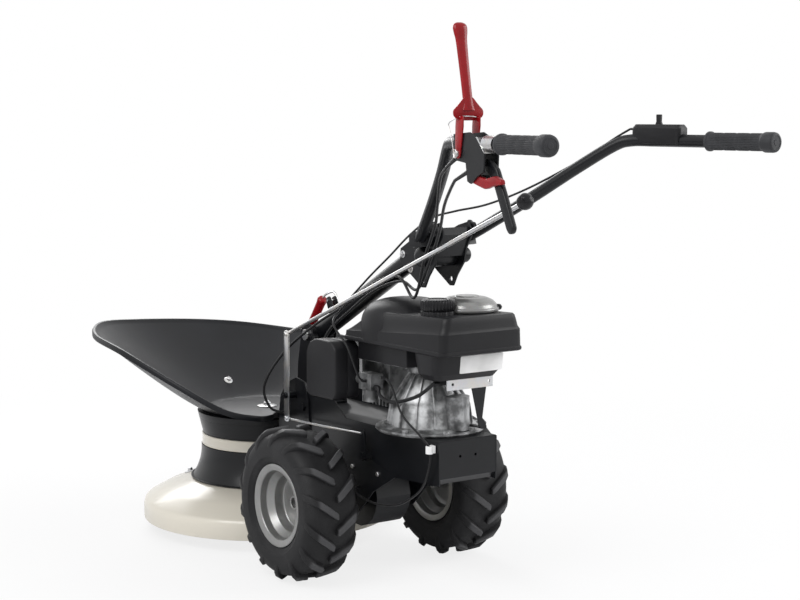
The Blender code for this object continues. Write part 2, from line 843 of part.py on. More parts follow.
def guard_dish():
    """Moulded swath guard, a scoop with a rolled rim, open at the back."""
    bm = bmesh.new()
    skin(bm, dish_rings(), closed=True)
    dish = finish("guard_dish", bm, dark_plastic(), smooth_angle=50.0)
    seat, outward = wall_bolt_seat()
    bolt = bmesh.new()
    frame = Matrix.Translation(seat) @ outward.to_track_quat("Z", "Y").to_matrix().to_4x4()
    shank = WALL_BOLT_RADIUS
    profile = [(0.0, -0.012), (shank, -0.012), (shank, -0.001), (0.011, -0.001), (0.011, 0.0036)]
    profile += [(0.0065, 0.0036), (0.0065, 0.0080), (0.0, 0.0080)]
    turned(bolt, profile, 10, frame)
    boolean(dish, helper("wall_bolt_shape", bolt), "UNION")
    return dish


def wall_bolt_seat():
    """Place and direction of the bolt on the inner front wall."""
    rim = Vector((0.0, 0.382, 0.457))
    share = 0.25
    radius = DISH_FLOOR_RADIUS + (rim.y - DISH_FLOOR_RADIUS) * share
    height = dish_floor() + (rim.z - dish_floor()) * share ** 1.15
    slope = Vector((0.0, rim.y - DISH_FLOOR_RADIUS, rim.z - dish_floor())).normalized()
    return Vector((0.010, radius, height)), Vector((0.0, -slope.z, slope.y))


def dish_bolt():
    """Centre bolt with its wide washer, through the dish and the cone's head."""
    bm = bmesh.new()
    floor = dish_floor()
    washer = 0.0022
    top = floor + SEAT_GAP + washer
    foot = floor - DISH_SHEET - CONE_SHEET - 0.004
    profile = [
        (0.0, foot),
        (CENTRE_BOLT_RADIUS, foot),
        (CENTRE_BOLT_RADIUS, floor + SEAT_GAP),
        (0.017, floor + SEAT_GAP),
        (0.017, top),
        (0.0095, top),
        (0.0095, top + 0.006),
        (0.0, top + 0.006),
    ]
    turned(bm, profile, 12)
    return finish("dish_bolt", bm, zinc())


# Belt drive

def add_pulley(bm, centre_y, outer, groove, steps):
    """Grooved pulley keyed on a vertical shaft."""
    half = PULLEY_HALF_WIDTH
    profile = [
        (0.0, BELT_Z - half),
        (outer, BELT_Z - half),
        (outer, BELT_Z - 0.0085),
        (groove, BELT_Z - 0.003),
        (groove, BELT_Z + 0.003),
        (outer, BELT_Z + 0.0085),
        (outer, BELT_Z + half),
        (0.0, BELT_Z + half),
    ]
    turned(bm, profile, steps, Matrix.Translation((0.0, centre_y, 0.0)))


def drive_belt():
    """V-belt round the drum pulley and the engine pulley."""
    drum_bends = 12
    engine_bends = 8
    drum = around(DRUM_GROOVE_RADIUS, 2 * drum_bends) + 2.0 * SEAT_GAP
    engine = around(ENGINE_GROOVE_RADIUS, 2 * engine_bends) + 2.0 * SEAT_GAP
    lean = math.degrees(math.asin((drum - engine) / abs(ENGINE_Y)))
    stations = []
    for step in range(drum_bends + 1):
        angle = math.radians(-lean + (180.0 + 2.0 * lean) * step / drum_bends)
        stations.append(((0.0, 0.0), drum, angle))
    for step in range(engine_bends + 1):
        angle = math.radians(180.0 + lean + (180.0 - 2.0 * lean) * step / engine_bends)
        stations.append(((0.0, ENGINE_Y), engine, angle))
    rings = []
    for centre, radius, angle in stations:
        outward = Vector((math.cos(angle), math.sin(angle), 0.0))
        middle = Vector((centre[0], centre[1], BELT_Z))
        inner = middle + outward * radius
        outer = middle + outward * (radius + BELT_DEPTH)
        up = Vector((0.0, 0.0, 1.0))
        rings.append([inner - up * 0.0022, outer - up * 0.0055, outer + up * 0.0055, inner + up * 0.0022])
    bm = bmesh.new()
    skin(bm, rings, closed=True)
    return finish("drive_belt", bm, tyre_rubber())


# Wheels

def wheel_frame(side):
    """Frame of a wheel, its Z axis outward along the axle."""
    outward = Vector((side, 0.0, 0.0))
    turn = outward.to_track_quat("Z", "Y").to_matrix().to_4x4()
    return Matrix.Translation((side * HALF_TRACK, AXLE_Y, AXLE_Z)) @ turn


def rim(name, side):
    """Pressed steel rim, deep-dished outward, with its centre plate and hub."""
    half = RIM_HALF_WIDTH
    sheet = RIM_SHEET
    well = RIM_WELL_RADIUS
    bore = AXLE_RADIUS + SEAT_GAP
    hub = WHEEL_HUB_RADIUS
    plate_z = RIM_PLATE_SET
    tyre_side = [
        (RIM_FLANGE_RADIUS, half + 0.002),
        (RIM_BEAD_RADIUS, half - 0.004),
        (RIM_BEAD_RADIUS, 0.034),
        (well, 0.022),
        (well, -0.022),
        (RIM_BEAD_RADIUS, -0.034),
        (RIM_BEAD_RADIUS, -half + 0.004),
        (RIM_FLANGE_RADIUS, -half - 0.002),
    ]
    back = [
        (RIM_BEAD_RADIUS - sheet, -half),
        (RIM_BEAD_RADIUS - sheet, -0.035),
        (well - sheet, -0.023),
        (well - sheet, plate_z - sheet),
        (hub, plate_z - sheet - 0.003),
        (hub, -0.046),
        (bore, -0.046),
        (bore, WHEEL_HUB_REACH),
        (hub, WHEEL_HUB_REACH),
        (hub, plate_z - 0.003),
        (well - sheet, plate_z),
    ]
    front = [
        (well - sheet, 0.023),
        (RIM_BEAD_RADIUS - sheet, 0.035),
        (RIM_BEAD_RADIUS - sheet, half),
    ]
    bm = bmesh.new()
    turned(bm, tyre_side + back + front, WHEEL_STEPS, wheel_frame(side))
    return finish(name, bm, rim_silver(), pivot=(side * HALF_TRACK, AXLE_Y, AXLE_Z))


def tyre(name, side):
    """Field tyre with a chevron of lugs that wrap over both shoulders."""
    carcass = TYRE_RADIUS - LUG_HEIGHT
    half = TYRE_HALF_WIDTH
    seat = RIM_BEAD_RADIUS + SEAT_GAP
    flange = RIM_HALF_WIDTH - 0.004 - 2.0 * SEAT_GAP
    outer = [
        (seat, flange - 0.001),
        (RIM_FLANGE_RADIUS + 0.002, flange + 0.0035),
        (RIM_FLANGE_RADIUS + 0.016, half),
        (carcass - 0.024, half),
        (carcass, half - 0.022),
    ]
    inner = [(carcass - 0.014, half - 0.026), (seat + 0.012, half - 0.012), (seat, flange - 0.010)]
    profile = list(outer)
    profile += [(radius, -height) for radius, height in reversed(outer)]
    profile += [(radius, -height) for radius, height in reversed(inner)]
    profile += inner
    bm = bmesh.new()
    turned(bm, profile, WHEEL_STEPS, wheel_frame(side))
    body = finish(name, bm, tyre_rubber(), pivot=(side * HALF_TRACK, AXLE_Y, AXLE_Z))
    lugs = bmesh.new()
    for index in range(LUG_COUNT):
        for half_side in (1.0, -1.0):
            stagger = 0.5 if half_side > 0.0 else 0.0
            angle = 2.0 * math.pi * (index + stagger) / LUG_COUNT
            lug(lugs, wheel_frame(side), angle, half_side, side)
    boolean(body, helper(name + "_lug_shapes", lugs), "UNION")
    return body


def lug(bm, frame, angle, half_side, side):
    """One bar of the chevron, from the tread's middle over the shoulder."""
    carcass = TYRE_RADIUS - LUG_HEIGHT
    half = TYRE_HALF_WIDTH
    stations = [
        (0.002, carcass - 0.004, TYRE_RADIUS, 0.00),
        (half + 0.001, carcass - 0.030, TYRE_RADIUS - 0.014, 0.34),
    ]
    rings = []
    for across, low, high, sweep in stations:
        turn = angle - side * sweep
        corners = []
        for radius, width in ((low, 1.15), (high, 0.85)):
            spread = LUG_WIDTH * width / (2.0 * TYRE_RADIUS)
            for sign in (-1.0, 1.0):
                place = turn + sign * spread
                across_now = half_side * across
                corners.append(frame @ Vector((radius * math.cos(place), radius * math.sin(place), across_now)))
        rings.append([corners[0], corners[1], corners[3], corners[2]])
    body = bmesh.new()
    skin(body, rings, closed=False)
    bmesh.ops.recalc_face_normals(body, faces=body.faces)
    scratch = bpy.data.meshes.new("lug")
    body.to_mesh(scratch)
    body.free()
    bm.from_mesh(scratch)
    bpy.data.meshes.remove(scratch)


def wheel_axle():
    """Axle from the gearbox out into both wheels' hubs."""
    bm = bmesh.new()
    reach = HALF_TRACK + WHEEL_HUB_REACH - 0.008
    cylinder(bm, AXLE_RADIUS, (-reach, AXLE_Y, AXLE_Z), (reach, AXLE_Y, AXLE_Z), 12)
    return finish("wheel_axle", bm, steel(), pivot=(0.0, AXLE_Y, AXLE_Z))


# Chassis

def chassis_frame():
    """Folded sheet channel: deck, deep sides round the gearbox and a rear apron."""
    deck = bmesh.new()
    x = CHASSIS_X - CHASSIS_SHEET / 3.0
    outline = [
        (-x, CHASSIS_REAR_Y + 0.002),
        (x, CHASSIS_REAR_Y + 0.002),
        (x, CHASSIS_FRONT_Y),
        (-x, CHASSIS_FRONT_Y),
    ]
    engine_hole = ((0.0, ENGINE_Y), 0.034)
    plate(deck, outline, frame_xy(DECK_TOP - CHASSIS_SHEET), CHASSIS_SHEET, [engine_hole])
    chassis = finish("chassis_frame", deck, black_paint())
    side_outline = [
        (CHASSIS_REAR_Y, DECK_TOP - 0.001),
        (CHASSIS_REAR_Y, CHASSIS_BOTTOM),
        (-0.640, CHASSIS_BOTTOM - 0.008),
        (-0.560, 0.190),
        (-0.500, 0.130),
        (-0.420, 0.130),
        (-0.375, 0.190),
        (-0.345, CHASSIS_BOTTOM),
        (CHASSIS_FRONT_Y, CHASSIS_BOTTOM + 0.006),
        (CHASSIS_FRONT_Y, DECK_TOP + 0.010),
        (-0.270, 0.372),
        (-0.400, 0.372),
        (-0.455, DECK_TOP - 0.001),
    ]
    sides = bmesh.new()
    axle_hole = ((AXLE_Y, AXLE_Z), AXLE_RADIUS + 0.002)
    for start in (-CHASSIS_X, CHASSIS_X - CHASSIS_SHEET):
        plate(sides, side_outline, frame_yz(start), CHASSIS_SHEET, [axle_hole])
    boolean(chassis, helper("side_shapes", sides), "UNION")
    apron = bmesh.new()
    lip = CHASSIS_BOTTOM + 0.016
    apron_outline = [(-x, lip - 0.002), (x, lip - 0.002), (x, DECK_TOP - 0.0015), (-x, DECK_TOP - 0.0015)]
    holes = [((-0.020, 0.2995), 0.003), ((0.019, 0.2995), 0.003)]
    plate(apron, apron_outline, frame_xz(CHASSIS_REAR_Y + CHASSIS_SHEET), CHASSIS_SHEET - 0.0004, holes)
    boolean(chassis, helper("apron_shape", apron), "UNION")
    fold = bmesh.new()
    rear = CHASSIS_REAR_Y + 0.0006
    low = CHASSIS_BOTTOM + 0.001
    fold_outline = [(rear, lip), (rear + 0.014, low), (rear + 0.017, low + 0.002), (rear + 0.003, lip + 0.002)]
    plate(fold, fold_outline, frame_yz(-x), 2.0 * x)
    boolean(chassis, helper("apron_fold_shape", fold), "UNION")
    boolean(chassis, helper("cheek_shapes", cheek_shapes()), "UNION")
    boolean(chassis, helper("chassis_stud_shapes", chassis_studs()), "UNION")
    return chassis


def cheek_shapes():
    """Two hump-topped doubler plates welded on the chassis sides."""
    bm = bmesh.new()
    outline = [(-0.184, 0.262), (-0.182, 0.300), (-0.190, 0.346), (-0.217, 0.380)]
    outline += [(-0.258, 0.397), (-0.293, 0.390), (-0.310, 0.352), (-0.313, 0.262)]
    bite = 0.001
    for start in (CHASSIS_X - bite, -CHASSIS_X - CHEEK_SHEET):
        plate(bm, outline, frame_yz(start), CHEEK_SHEET + bite)
    return bm


def chassis_studs():
    """Bolt heads on the cheeks and the studs that the linkage turns on."""
    bm = bmesh.new()
    seat = CHASSIS_X + CHEEK_SHEET
    for side in (-1.0, 1.0):
        turn = Vector((side, 0.0, 0.0)).to_track_quat("Z", "Y").to_matrix().to_4x4()
        for place in ((-0.212, 0.341), (-0.290, 0.335)):
            frame = Matrix.Translation((side * seat, *place)) @ turn
            turned(bm, [(0.0, -0.001), (0.0095, -0.001), (0.0095, 0.006), (0.0, 0.006)], 6, frame)
    add_strap_pivot(bm)
    add_gear_shaft(bm)
    return bm


def add_strap_pivot(bm):
    """Shouldered stud on the left cheek that the strap turns on, with its nut."""
    seat = -CHASSIS_X - CHEEK_SHEET
    inner = STRAP_X + STRAP_SHEET / 2.0 + RUN_GAP
    outer = STRAP_X - STRAP_SHEET / 2.0 - RUN_GAP
    start = Vector((seat, STRAP_Y, STRAP_PIVOT_Z))
    frame = Matrix.Translation(start) @ Matrix.Rotation(-math.pi / 2.0, 4, "Y")
    shoulder = seat - inner
    through = seat - outer
    profile = [(0.0, -0.001), (0.0085, -0.001), (0.0085, shoulder), (0.004, shoulder), (0.004, through)]
    profile += [(0.0072, through), (0.0072, through + 0.006), (0.003, through + 0.006)]
    profile += [(0.003, through + 0.010), (0.0, through + 0.010)]
    turned(bm, profile, 8, frame)


def add_gear_shaft(bm):
    """Selector shaft's end that stands out of the chassis side."""
    seat = -CHASSIS_X
    foot = GEAR_LEVER_PIVOT
    half = GEAR_LEVER_SHEET / 2.0
    lever_in = seat - (foot.x + half + RUN_GAP)
    lever_out = seat - (foot.x - half - RUN_GAP)
    frame = Matrix.Translation((seat, foot.y, foot.z)) @ Matrix.Rotation(-math.pi / 2.0, 4, "Y")
    profile = [(0.0, -0.001), (0.010, -0.001), (0.010, lever_in), (0.0055, lever_in), (0.0055, lever_out)]
    profile += [(0.009, lever_out), (0.009, lever_out + 0.005), (0.0, lever_out + 0.005)]
    turned(bm, profile, 8, frame)


def gearbox_housing():
    """Cast gearbox hung between the chassis sides round the wheel axle."""
    bm = bmesh.new()
    half = GEARBOX_HALF_WIDTH
    centre = (AXLE_Y, AXLE_Z)
    top = BELT_Z - 0.012
    outline = arc_2d(centre, GEARBOX_RADIUS, 180.0, 345.0, 8)
    outline += [(AXLE_Y + 0.055, top - 0.025), (AXLE_Y + 0.045, top), (AXLE_Y - 0.055, top)]
    bore = (centre, AXLE_RADIUS + RUN_GAP)
    plate(bm, outline, frame_yz(-half), 2.0 * half, [bore])
    housing = finish("gearbox_housing", bm, black_paint())
    hubs = bmesh.new()
    reach = CHASSIS_X - CHASSIS_SHEET - SEAT_GAP
    for side in (-1.0, 1.0):
        start = (side * (half - 0.004), AXLE_Y, AXLE_Z)
        end = (side * reach, AXLE_Y, AXLE_Z)
        tube(hubs, 0.030, AXLE_RADIUS + RUN_GAP, start, end, SMALL_STEPS)
    boolean(housing, helper("axle_tube_shapes", hubs), "UNION")
    return housing


# Shift linkage

def strap_lever():
    """Zinc strap that turns the push-rod's stroke into the link's."""
    bm = bmesh.new()
    half = STRAP_WIDTH / 2.0
    outline = arc_2d((STRAP_Y, STRAP_TOP - half), half, 0.0, 180.0, 4)
    outline += arc_2d((STRAP_Y, STRAP_BOTTOM + half), half, 180.0, 360.0, 4)
    holes = [((STRAP_Y, STRAP_PIVOT_Z), 0.0043), ((STRAP_Y, 0.401), 0.0025)]
    holes += [((STRAP_Y, STRAP_TOP - half), 0.003), ((STRAP_Y, STRAP_BOTTOM + half), 0.003)]
    plate(bm, outline, frame_yz(STRAP_X - STRAP_SHEET / 2.0), STRAP_SHEET, holes)
    return finish("strap_lever", bm, zinc(), pivot=(STRAP_X, STRAP_Y, STRAP_PIVOT_Z))


def link_rod():
    """Thin zinc rod from the strap's foot to the gear lever."""
    x = LINK_X
    foot = STRAP_BOTTOM + STRAP_WIDTH / 2.0
    path = smooth_path([(x, STRAP_Y - 0.001, foot), (x, -0.400, 0.309), (x, -0.548, 0.3165)], 2)
    return rod("link_rod", path, LINK_RADIUS, zinc(), pivot=path[0])


def gear_lever():
    """Lever on the gearbox's selector shaft, moved by the link rod."""
    bm = bmesh.new()
    foot = GEAR_LEVER_PIVOT
    outline = arc_2d((foot.y, foot.z), 0.011, 180.0, 360.0, 5)
    outline += arc_2d((foot.y, foot.z + 0.0485), 0.0075, 0.0, 180.0, 4)
    start = foot.x - GEAR_LEVER_SHEET / 2.0
    plate(bm, outline, frame_yz(start), GEAR_LEVER_SHEET, [((foot.y, foot.z), 0.0058)])
    return finish("gear_lever", bm, black_paint(), pivot=foot)


def shift_rod():
    """Long bright push-rod beside the column."""
    foot = SHIFT_ROD_FOOT
    path = [foot, foot.lerp(SHIFT_ROD_HEAD, 0.5), SHIFT_ROD_HEAD]
    return rod("shift_rod", path, SHIFT_ROD_RADIUS, zinc(), pivot=foot)


def shift_knob():
    """Ball knob with its collar on the push-rod's upper end."""
    bm = bmesh.new()
    along = (SHIFT_ROD_HEAD - SHIFT_ROD_FOOT).normalized()
    start = SHIFT_ROD_HEAD + along * SEAT_GAP
    frame = Matrix.Translation(start) @ along.to_track_quat("Z", "Y").to_matrix().to_4x4()
    profile = [(0.0, 0.0), (0.009, 0.0), (0.009, 0.004)]
    for step in range(1, 7):
        angle = math.radians(-60.0 + 150.0 * step / 6)
        profile.append((max(0.0, 0.016 * math.cos(angle)), 0.018 + 0.016 * math.sin(angle)))
    profile[-1] = (0.0, 0.034)
    turned(bm, profile, 12, frame)
    return finish("shift_knob", bm, dark_plastic(), pivot=SHIFT_ROD_FOOT)


# Column and handlebars

def column_base():
    """Upright fork on the deck that the column pitches in."""
    bm = bmesh.new()
    foot = DECK_TOP + SEAT_GAP
    pivot = COLUMN_PIVOT
    outline = [(-0.190, foot), (-0.300, foot), (-0.286, 0.420)]
    outline += arc_2d((pivot.y, pivot.z), 0.027, 195.0, -15.0, 8)
    outline += [(-0.196, 0.420)]
    hole = ((pivot.y, pivot.z), 0.0083)
    for start in (-0.0335, 0.0285):
        plate(bm, outline, frame_yz(start), 0.005, [hole])
    base = finish("column_base", bm, black_paint())
    bridge = bmesh.new()
    low = foot + 0.0005
    folded = [(-0.296, low), (-0.204, low), (-0.204, 0.405), (-0.210, 0.405), (-0.210, low + 0.005)]
    folded += [(-0.296, low + 0.005)]
    plate(bridge, folded, frame_yz(-0.030), 0.060)
    boolean(base, helper("base_bridge_shapes", bridge), "UNION")
    return base


def column_pin():
    """Pin through the fork and the column's foot, with a head and a nut."""
    bm = bmesh.new()
    frame = along_x((-0.0335 - SEAT_GAP, COLUMN_PIVOT.y, COLUMN_PIVOT.z))
    width = 0.067 + 2.0 * SEAT_GAP
    profile = [(0.0, -0.006), (0.013, -0.006), (0.013, 0.0), (0.008, 0.0), (0.008, width)]
    profile += [(0.013, width), (0.013, width + 0.006), (0.0, width + 0.006)]
    turned(bm, profile, 10, frame)
    return finish("column_pin", bm, zinc())


def column_line():
    """Return the column's direction and the direction square to it in its plane."""
    along = (COLUMN_TOP - COLUMN_PIVOT).normalized()
    return along, Vector((0.0, along.z, -along.y))


def column():
    """Steel tube from the fork to the head, with its boss, eye and lock lugs."""
    bm = bmesh.new()
    along, up = column_line()
    start = COLUMN_PIVOT + along * 0.012
    end = COLUMN_TOP + along * 0.020
    tube(bm, COLUMN_RADIUS, COLUMN_RADIUS - COLUMN_WALL, start, end, SMALL_STEPS)
    post = finish("column", bm, black_paint(), pivot=COLUMN_PIVOT)
    boss = bmesh.new()
    side = Vector((0.0282, 0.0, 0.0))
    cylinder(boss, 0.022, COLUMN_PIVOT - side, COLUMN_PIVOT + side, SMALL_STEPS)
    boolean(post, helper("column_boss_shape", boss), "UNION")
    eye = bmesh.new()
    half = Vector((HEAD_PLATE_INNER - RUN_GAP, 0.0, 0.0))
    cylinder(eye, COLUMN_EYE_RADIUS, HEAD_PIVOT - half, HEAD_PIVOT + half, SMALL_STEPS)
    boolean(post, helper("column_eye_shape", eye), "UNION")
    boolean(post, helper("lock_lug_shapes", lock_lugs(along, up)), "UNION")
    bore = bmesh.new()
    pin_hole = around(0.008 + RUN_GAP, HOLE_STEPS)
    bolt_hole = around(0.006 + RUN_GAP, HOLE_STEPS)
    cylinder(bore, pin_hole, COLUMN_PIVOT - 2.0 * side, COLUMN_PIVOT + 2.0 * side, HOLE_STEPS)
    cylinder(bore, bolt_hole, HEAD_PIVOT - 2.0 * half, HEAD_PIVOT + 2.0 * half, HOLE_STEPS)
    boolean(post, helper("column_bore_shapes", bore), "DIFFERENCE")
    return post


def lock_lugs(along, up):
    """Two lugs on top of the column that the lock's wire turns in."""
    bm = bmesh.new()
    foot = COLUMN_PIVOT + along * LOCK_ALONG + up * (COLUMN_RADIUS - 0.004)
    outline = [(-0.012, 0.0), (0.012, 0.0), (0.009, LOCK_LIFT + 0.008), (-0.009, LOCK_LIFT + 0.008)]
    across = Vector((1.0, 0.0, 0.0))
    rows = [(along[axis], up[axis], across[axis], foot[axis]) for axis in range(3)]
    frame = Matrix((*rows, (0.0, 0.0, 0.0, 1.0)))
    for start in (-0.009, 0.006):
        plate(bm, outline, frame @ Matrix.Translation((0.0, 0.0, start)), 0.003, [((0.0, LOCK_LIFT), 0.0030)])
    return bm


def lock_pivot_place():
    """Axis of the lock's wire, through the two lugs' holes."""
    along, up = column_line()
    return COLUMN_PIVOT + along * LOCK_ALONG + up * (COLUMN_RADIUS - 0.004 + LOCK_LIFT)


def lock_wire():
    """Bent wire of the column lock, from the lugs over and down into its sleeve."""
    hub = lock_pivot_place()
    drop = (SLEEVE_FOOT - SLEEVE_TOP).normalized()
    path = [
        hub + Vector((-0.012, 0.0, 0.0)),
        hub + Vector((0.011, 0.0, 0.0)),
        hub + Vector((0.0165, 0.004, 0.006)),
        hub + Vector((0.0150, 0.016, 0.017)),
        SLEEVE_TOP - drop * 0.013 + Vector((0.005, 0.0, 0.0)),
        SLEEVE_TOP - drop * 0.006,
        SLEEVE_TOP - drop * SEAT_GAP,
    ]
    return rod("lock_wire", smooth_path(path, 2), 0.0026, zinc(), pivot=hub)


def lock_sleeve():
    """Red sleeve that is pulled to free the column."""
    bm = bmesh.new()
    along = SLEEVE_FOOT - SLEEVE_TOP
    frame = Matrix.Translation(SLEEVE_TOP) @ along.to_track_quat("Z", "Y").to_matrix().to_4x4()
    length = along.length
    profile = [(0.0, 0.0), (0.009, 0.0), (0.0115, 0.004), (0.0115, length - 0.004)]
    profile += [(0.009, length), (0.0, length)]
    turned(bm, profile, SMALL_STEPS, frame)
    return finish("lock_sleeve", bm, red_plastic(), pivot=lock_pivot_place())


def head_bracket():
    """Two tabbed side plates welded to a spacer block behind the column."""
    bm = bmesh.new()
    outline = [
        (-0.6085, 0.685),
        (-0.6105, 0.710),
        (-0.6795, 0.747),
        (-0.7140, 0.762),
        (-0.7450, 0.770),
        (-0.7570, 0.755),
        (-0.7570, 0.742),
        (-0.7400, 0.7165),
        (-0.7330, 0.687),
        (-0.7095, 0.6585),
        (-0.6960, 0.635),
        (-0.6850, 0.6345),
        (-0.6600, 0.650),
        (-0.6400, 0.662),
    ]
    pivot_hole = ((HEAD_PIVOT.y, HEAD_PIVOT.z), 0.0063)
    holes = [pivot_hole, ((-0.689, 0.649), 0.005)]
    for start in (HEAD_PLATE_INNER, -HEAD_PLATE_INNER - HEAD_PLATE_SHEET):
        plate(bm, outline, frame_yz(start), HEAD_PLATE_SHEET, holes)
    bracket = finish("head_bracket", bm, black_paint(), pivot=HEAD_PIVOT)
    block = bmesh.new()
    half = HEAD_PLATE_INNER + 0.001
    spacer = [(-0.722, 0.700), (-0.722, 0.754), (-0.748, 0.760), (-0.752, 0.745)]
    spacer += [(-0.738, 0.718), (-0.731, 0.700)]
    plate(block, spacer, frame_yz(-half), 2.0 * half)
    boolean(bracket, helper("head_block_shape", block), "UNION")
    boolean(bracket, helper("bar_socket_shapes", bar_sockets()), "UNION")
    groove = bmesh.new()
    for side in (-1.0, 1.0):
        path = bar_path(side)
        lead = path[0] + (path[0] - path[1]).normalized() * SEAT_GAP
        swept(groove, [lead] + path[1:5], BAR_RADIUS + 2.0 * SEAT_GAP, BAR_STEPS)
    boolean(bracket, helper("bar_groove_shapes", groove), "DIFFERENCE")
    return bracket


def head_bolt():
    """Pivot bolt through the head and the column's eye, a disc on the left, a boss on the right."""
    bm = bmesh.new()
    seat = HEAD_PLATE_INNER + HEAD_PLATE_SHEET + SEAT_GAP
    frame = along_x((-seat, HEAD_PIVOT.y, HEAD_PIVOT.z))
    width = 2.0 * seat
    profile = [(0.0, -0.016), (0.010, -0.016), (0.019, -0.012), (0.021, 0.0), (0.006, 0.0)]
    profile += [(0.006, width), (0.0165, width), (0.0165, width + 0.030), (0.012, width + 0.036)]
    profile += [(0.0, width + 0.036)]
    turned(bm, profile, SMALL_STEPS, frame)
    return finish("head_bolt", bm, black_paint(), pivot=HEAD_PIVOT)


def bar_sockets():
    """Socket blocks on the head's plates, one for each bar."""
    bm = bmesh.new()
    inner = HEAD_PLATE_INNER + HEAD_PLATE_SHEET - 0.001
    outer = HEAD_PLATE_INNER + HEAD_PLATE_SHEET + CLAMP_WIDTH
    outline = [(-0.688, 0.7215), (-0.688, 0.742), (-0.704, 0.752), (-0.720, 0.744)]
    outline += [(-0.726, 0.722), (-0.712, 0.7195)]
    for side in (-1.0, 1.0):
        start = inner if side > 0.0 else -outer
        plate(bm, outline, frame_yz(start), outer - inner)
    return bm


def clamp_knob(name, side):
    """Star knob on the outer face of the head's plate, above a bar's socket."""
    bm = bmesh.new()
    face = HEAD_PLATE_INNER + HEAD_PLATE_SHEET + SEAT_GAP
    place = (side * face, *KNOB_PLACE)
    add_star_knob(bm, place, side)
    return finish(name, bm, dark_plastic(), pivot=place)


def bar_path(side):
    """Route of a handlebar from its clamp up, outward and straight back."""
    points = [
        (0.0560, -0.702, 0.7310),
        (0.0788, -0.749, 0.7600),
        (0.1223, -0.841, 0.8200),
        (0.1647, -0.927, 0.8800),
        (0.2030, -0.996, 0.9265),
        (0.2190, -1.028, 0.9365),
        tuple(BAR_LINE_START),
    ]
    path = smooth_path(points, 2)
    path += [BAR_LINE_START.lerp(BAR_END, share) for share in (0.5, 1.0)]
    return [Vector((side * point.x, point.y, point.z)) for point in path]


def bar_frame(side):
    """Frame on a bar's straight end: Y forward along the bar, Z up."""
    start = Vector((side * BAR_LINE_START.x, BAR_LINE_START.y, BAR_LINE_START.z))
    end = Vector((side * BAR_END.x, BAR_END.y, BAR_END.z))
    forward = (start - end).normalized()
    across = forward.cross(Vector((0.0, 0.0, 1.0)))
    rows = [(across[axis], forward[axis], float(axis == 2), start[axis]) for axis in range(3)]
    return Matrix((*rows, (0.0, 0.0, 0.0, 1.0)))


def handlebar(name, side):
    """Bent tube of one handlebar."""
    bm = bmesh.new()
    swept(bm, bar_path(side), BAR_RADIUS, BAR_STEPS)
    return finish(name, bm, black_paint(), pivot=HEAD_PIVOT)


def add_star_knob(bm, place, side):
    """Round clamp knob with finger lobes, facing outward."""
    turn = Vector((side, 0.0, 0.0)).to_track_quat("Z", "Y").to_matrix().to_4x4()
    frame = Matrix.Translation(Vector(place)) @ turn
    rings = []
    levels = [(0.007, 0.0, 0.0), (0.007, 0.004, 0.0), (0.0150, 0.0055, 0.0012)]
    levels += [(0.0155, 0.0125, 0.0012), (0.010, 0.0155, 0.0)]
    for radius, height, lobe in levels:
        points = []
        for step in range(15):
            angle = 2.0 * math.pi * step / 15
            reach = radius + lobe * (1.0 if step % 3 else -1.0)
            points.append(frame @ Vector((reach * math.cos(angle), reach * math.sin(angle), height)))
        rings.append(points)
    skin(bm, rings, closed=False)


def grip(name, side):
    """Ribbed rubber grip, a cup over the bar's end with a flange at each end."""
    bm = bmesh.new()
    frame = bar_frame(side)
    straight = (BAR_END - BAR_LINE_START).length
    mouth = straight - GRIP_LENGTH
    turn = frame @ Matrix.Translation((0.0, -mouth, 0.0)) @ Matrix.Rotation(math.pi / 2.0, 4, "X")
    bore = around(BAR_RADIUS + SEAT_GAP, SMALL_STEPS)
    end = GRIP_LENGTH + SEAT_GAP
    profile = [(0.0, end), (bore, end), (bore, 0.0), (0.0185, 0.0), (0.0185, 0.006), (GRIP_RADIUS, 0.012)]
    for share in (0.42, 0.60):
        profile += [(GRIP_RADIUS, end * share), (GRIP_RADIUS + 0.0012, end * share + 0.008)]
    profile += [(GRIP_RADIUS, end - 0.022), (0.0190, end - 0.016), (0.0190, end + 0.003)]
    profile += [(0.0150, end + 0.006), (0.0, end + 0.006)]
    turned_cup(bm, profile, SMALL_STEPS, turn)
    return finish(name, bm, grip_rubber(), pivot=HEAD_PIVOT)


def turned_cup(bm, profile, steps, frame):
    """Turn a profile that starts and ends on the axis, one end inside the other."""
    rings = []
    for radius, height in profile:
        rings.append(ring(radius, height, 1 if radius < 1e-6 else steps, frame))
    skin(bm, rings, closed=False)


# Controls on the bars

def on_bar(side, place):
    """World place of a (y, z) point in the bar's frame."""
    return bar_frame(side) @ Vector((0.0, *place))


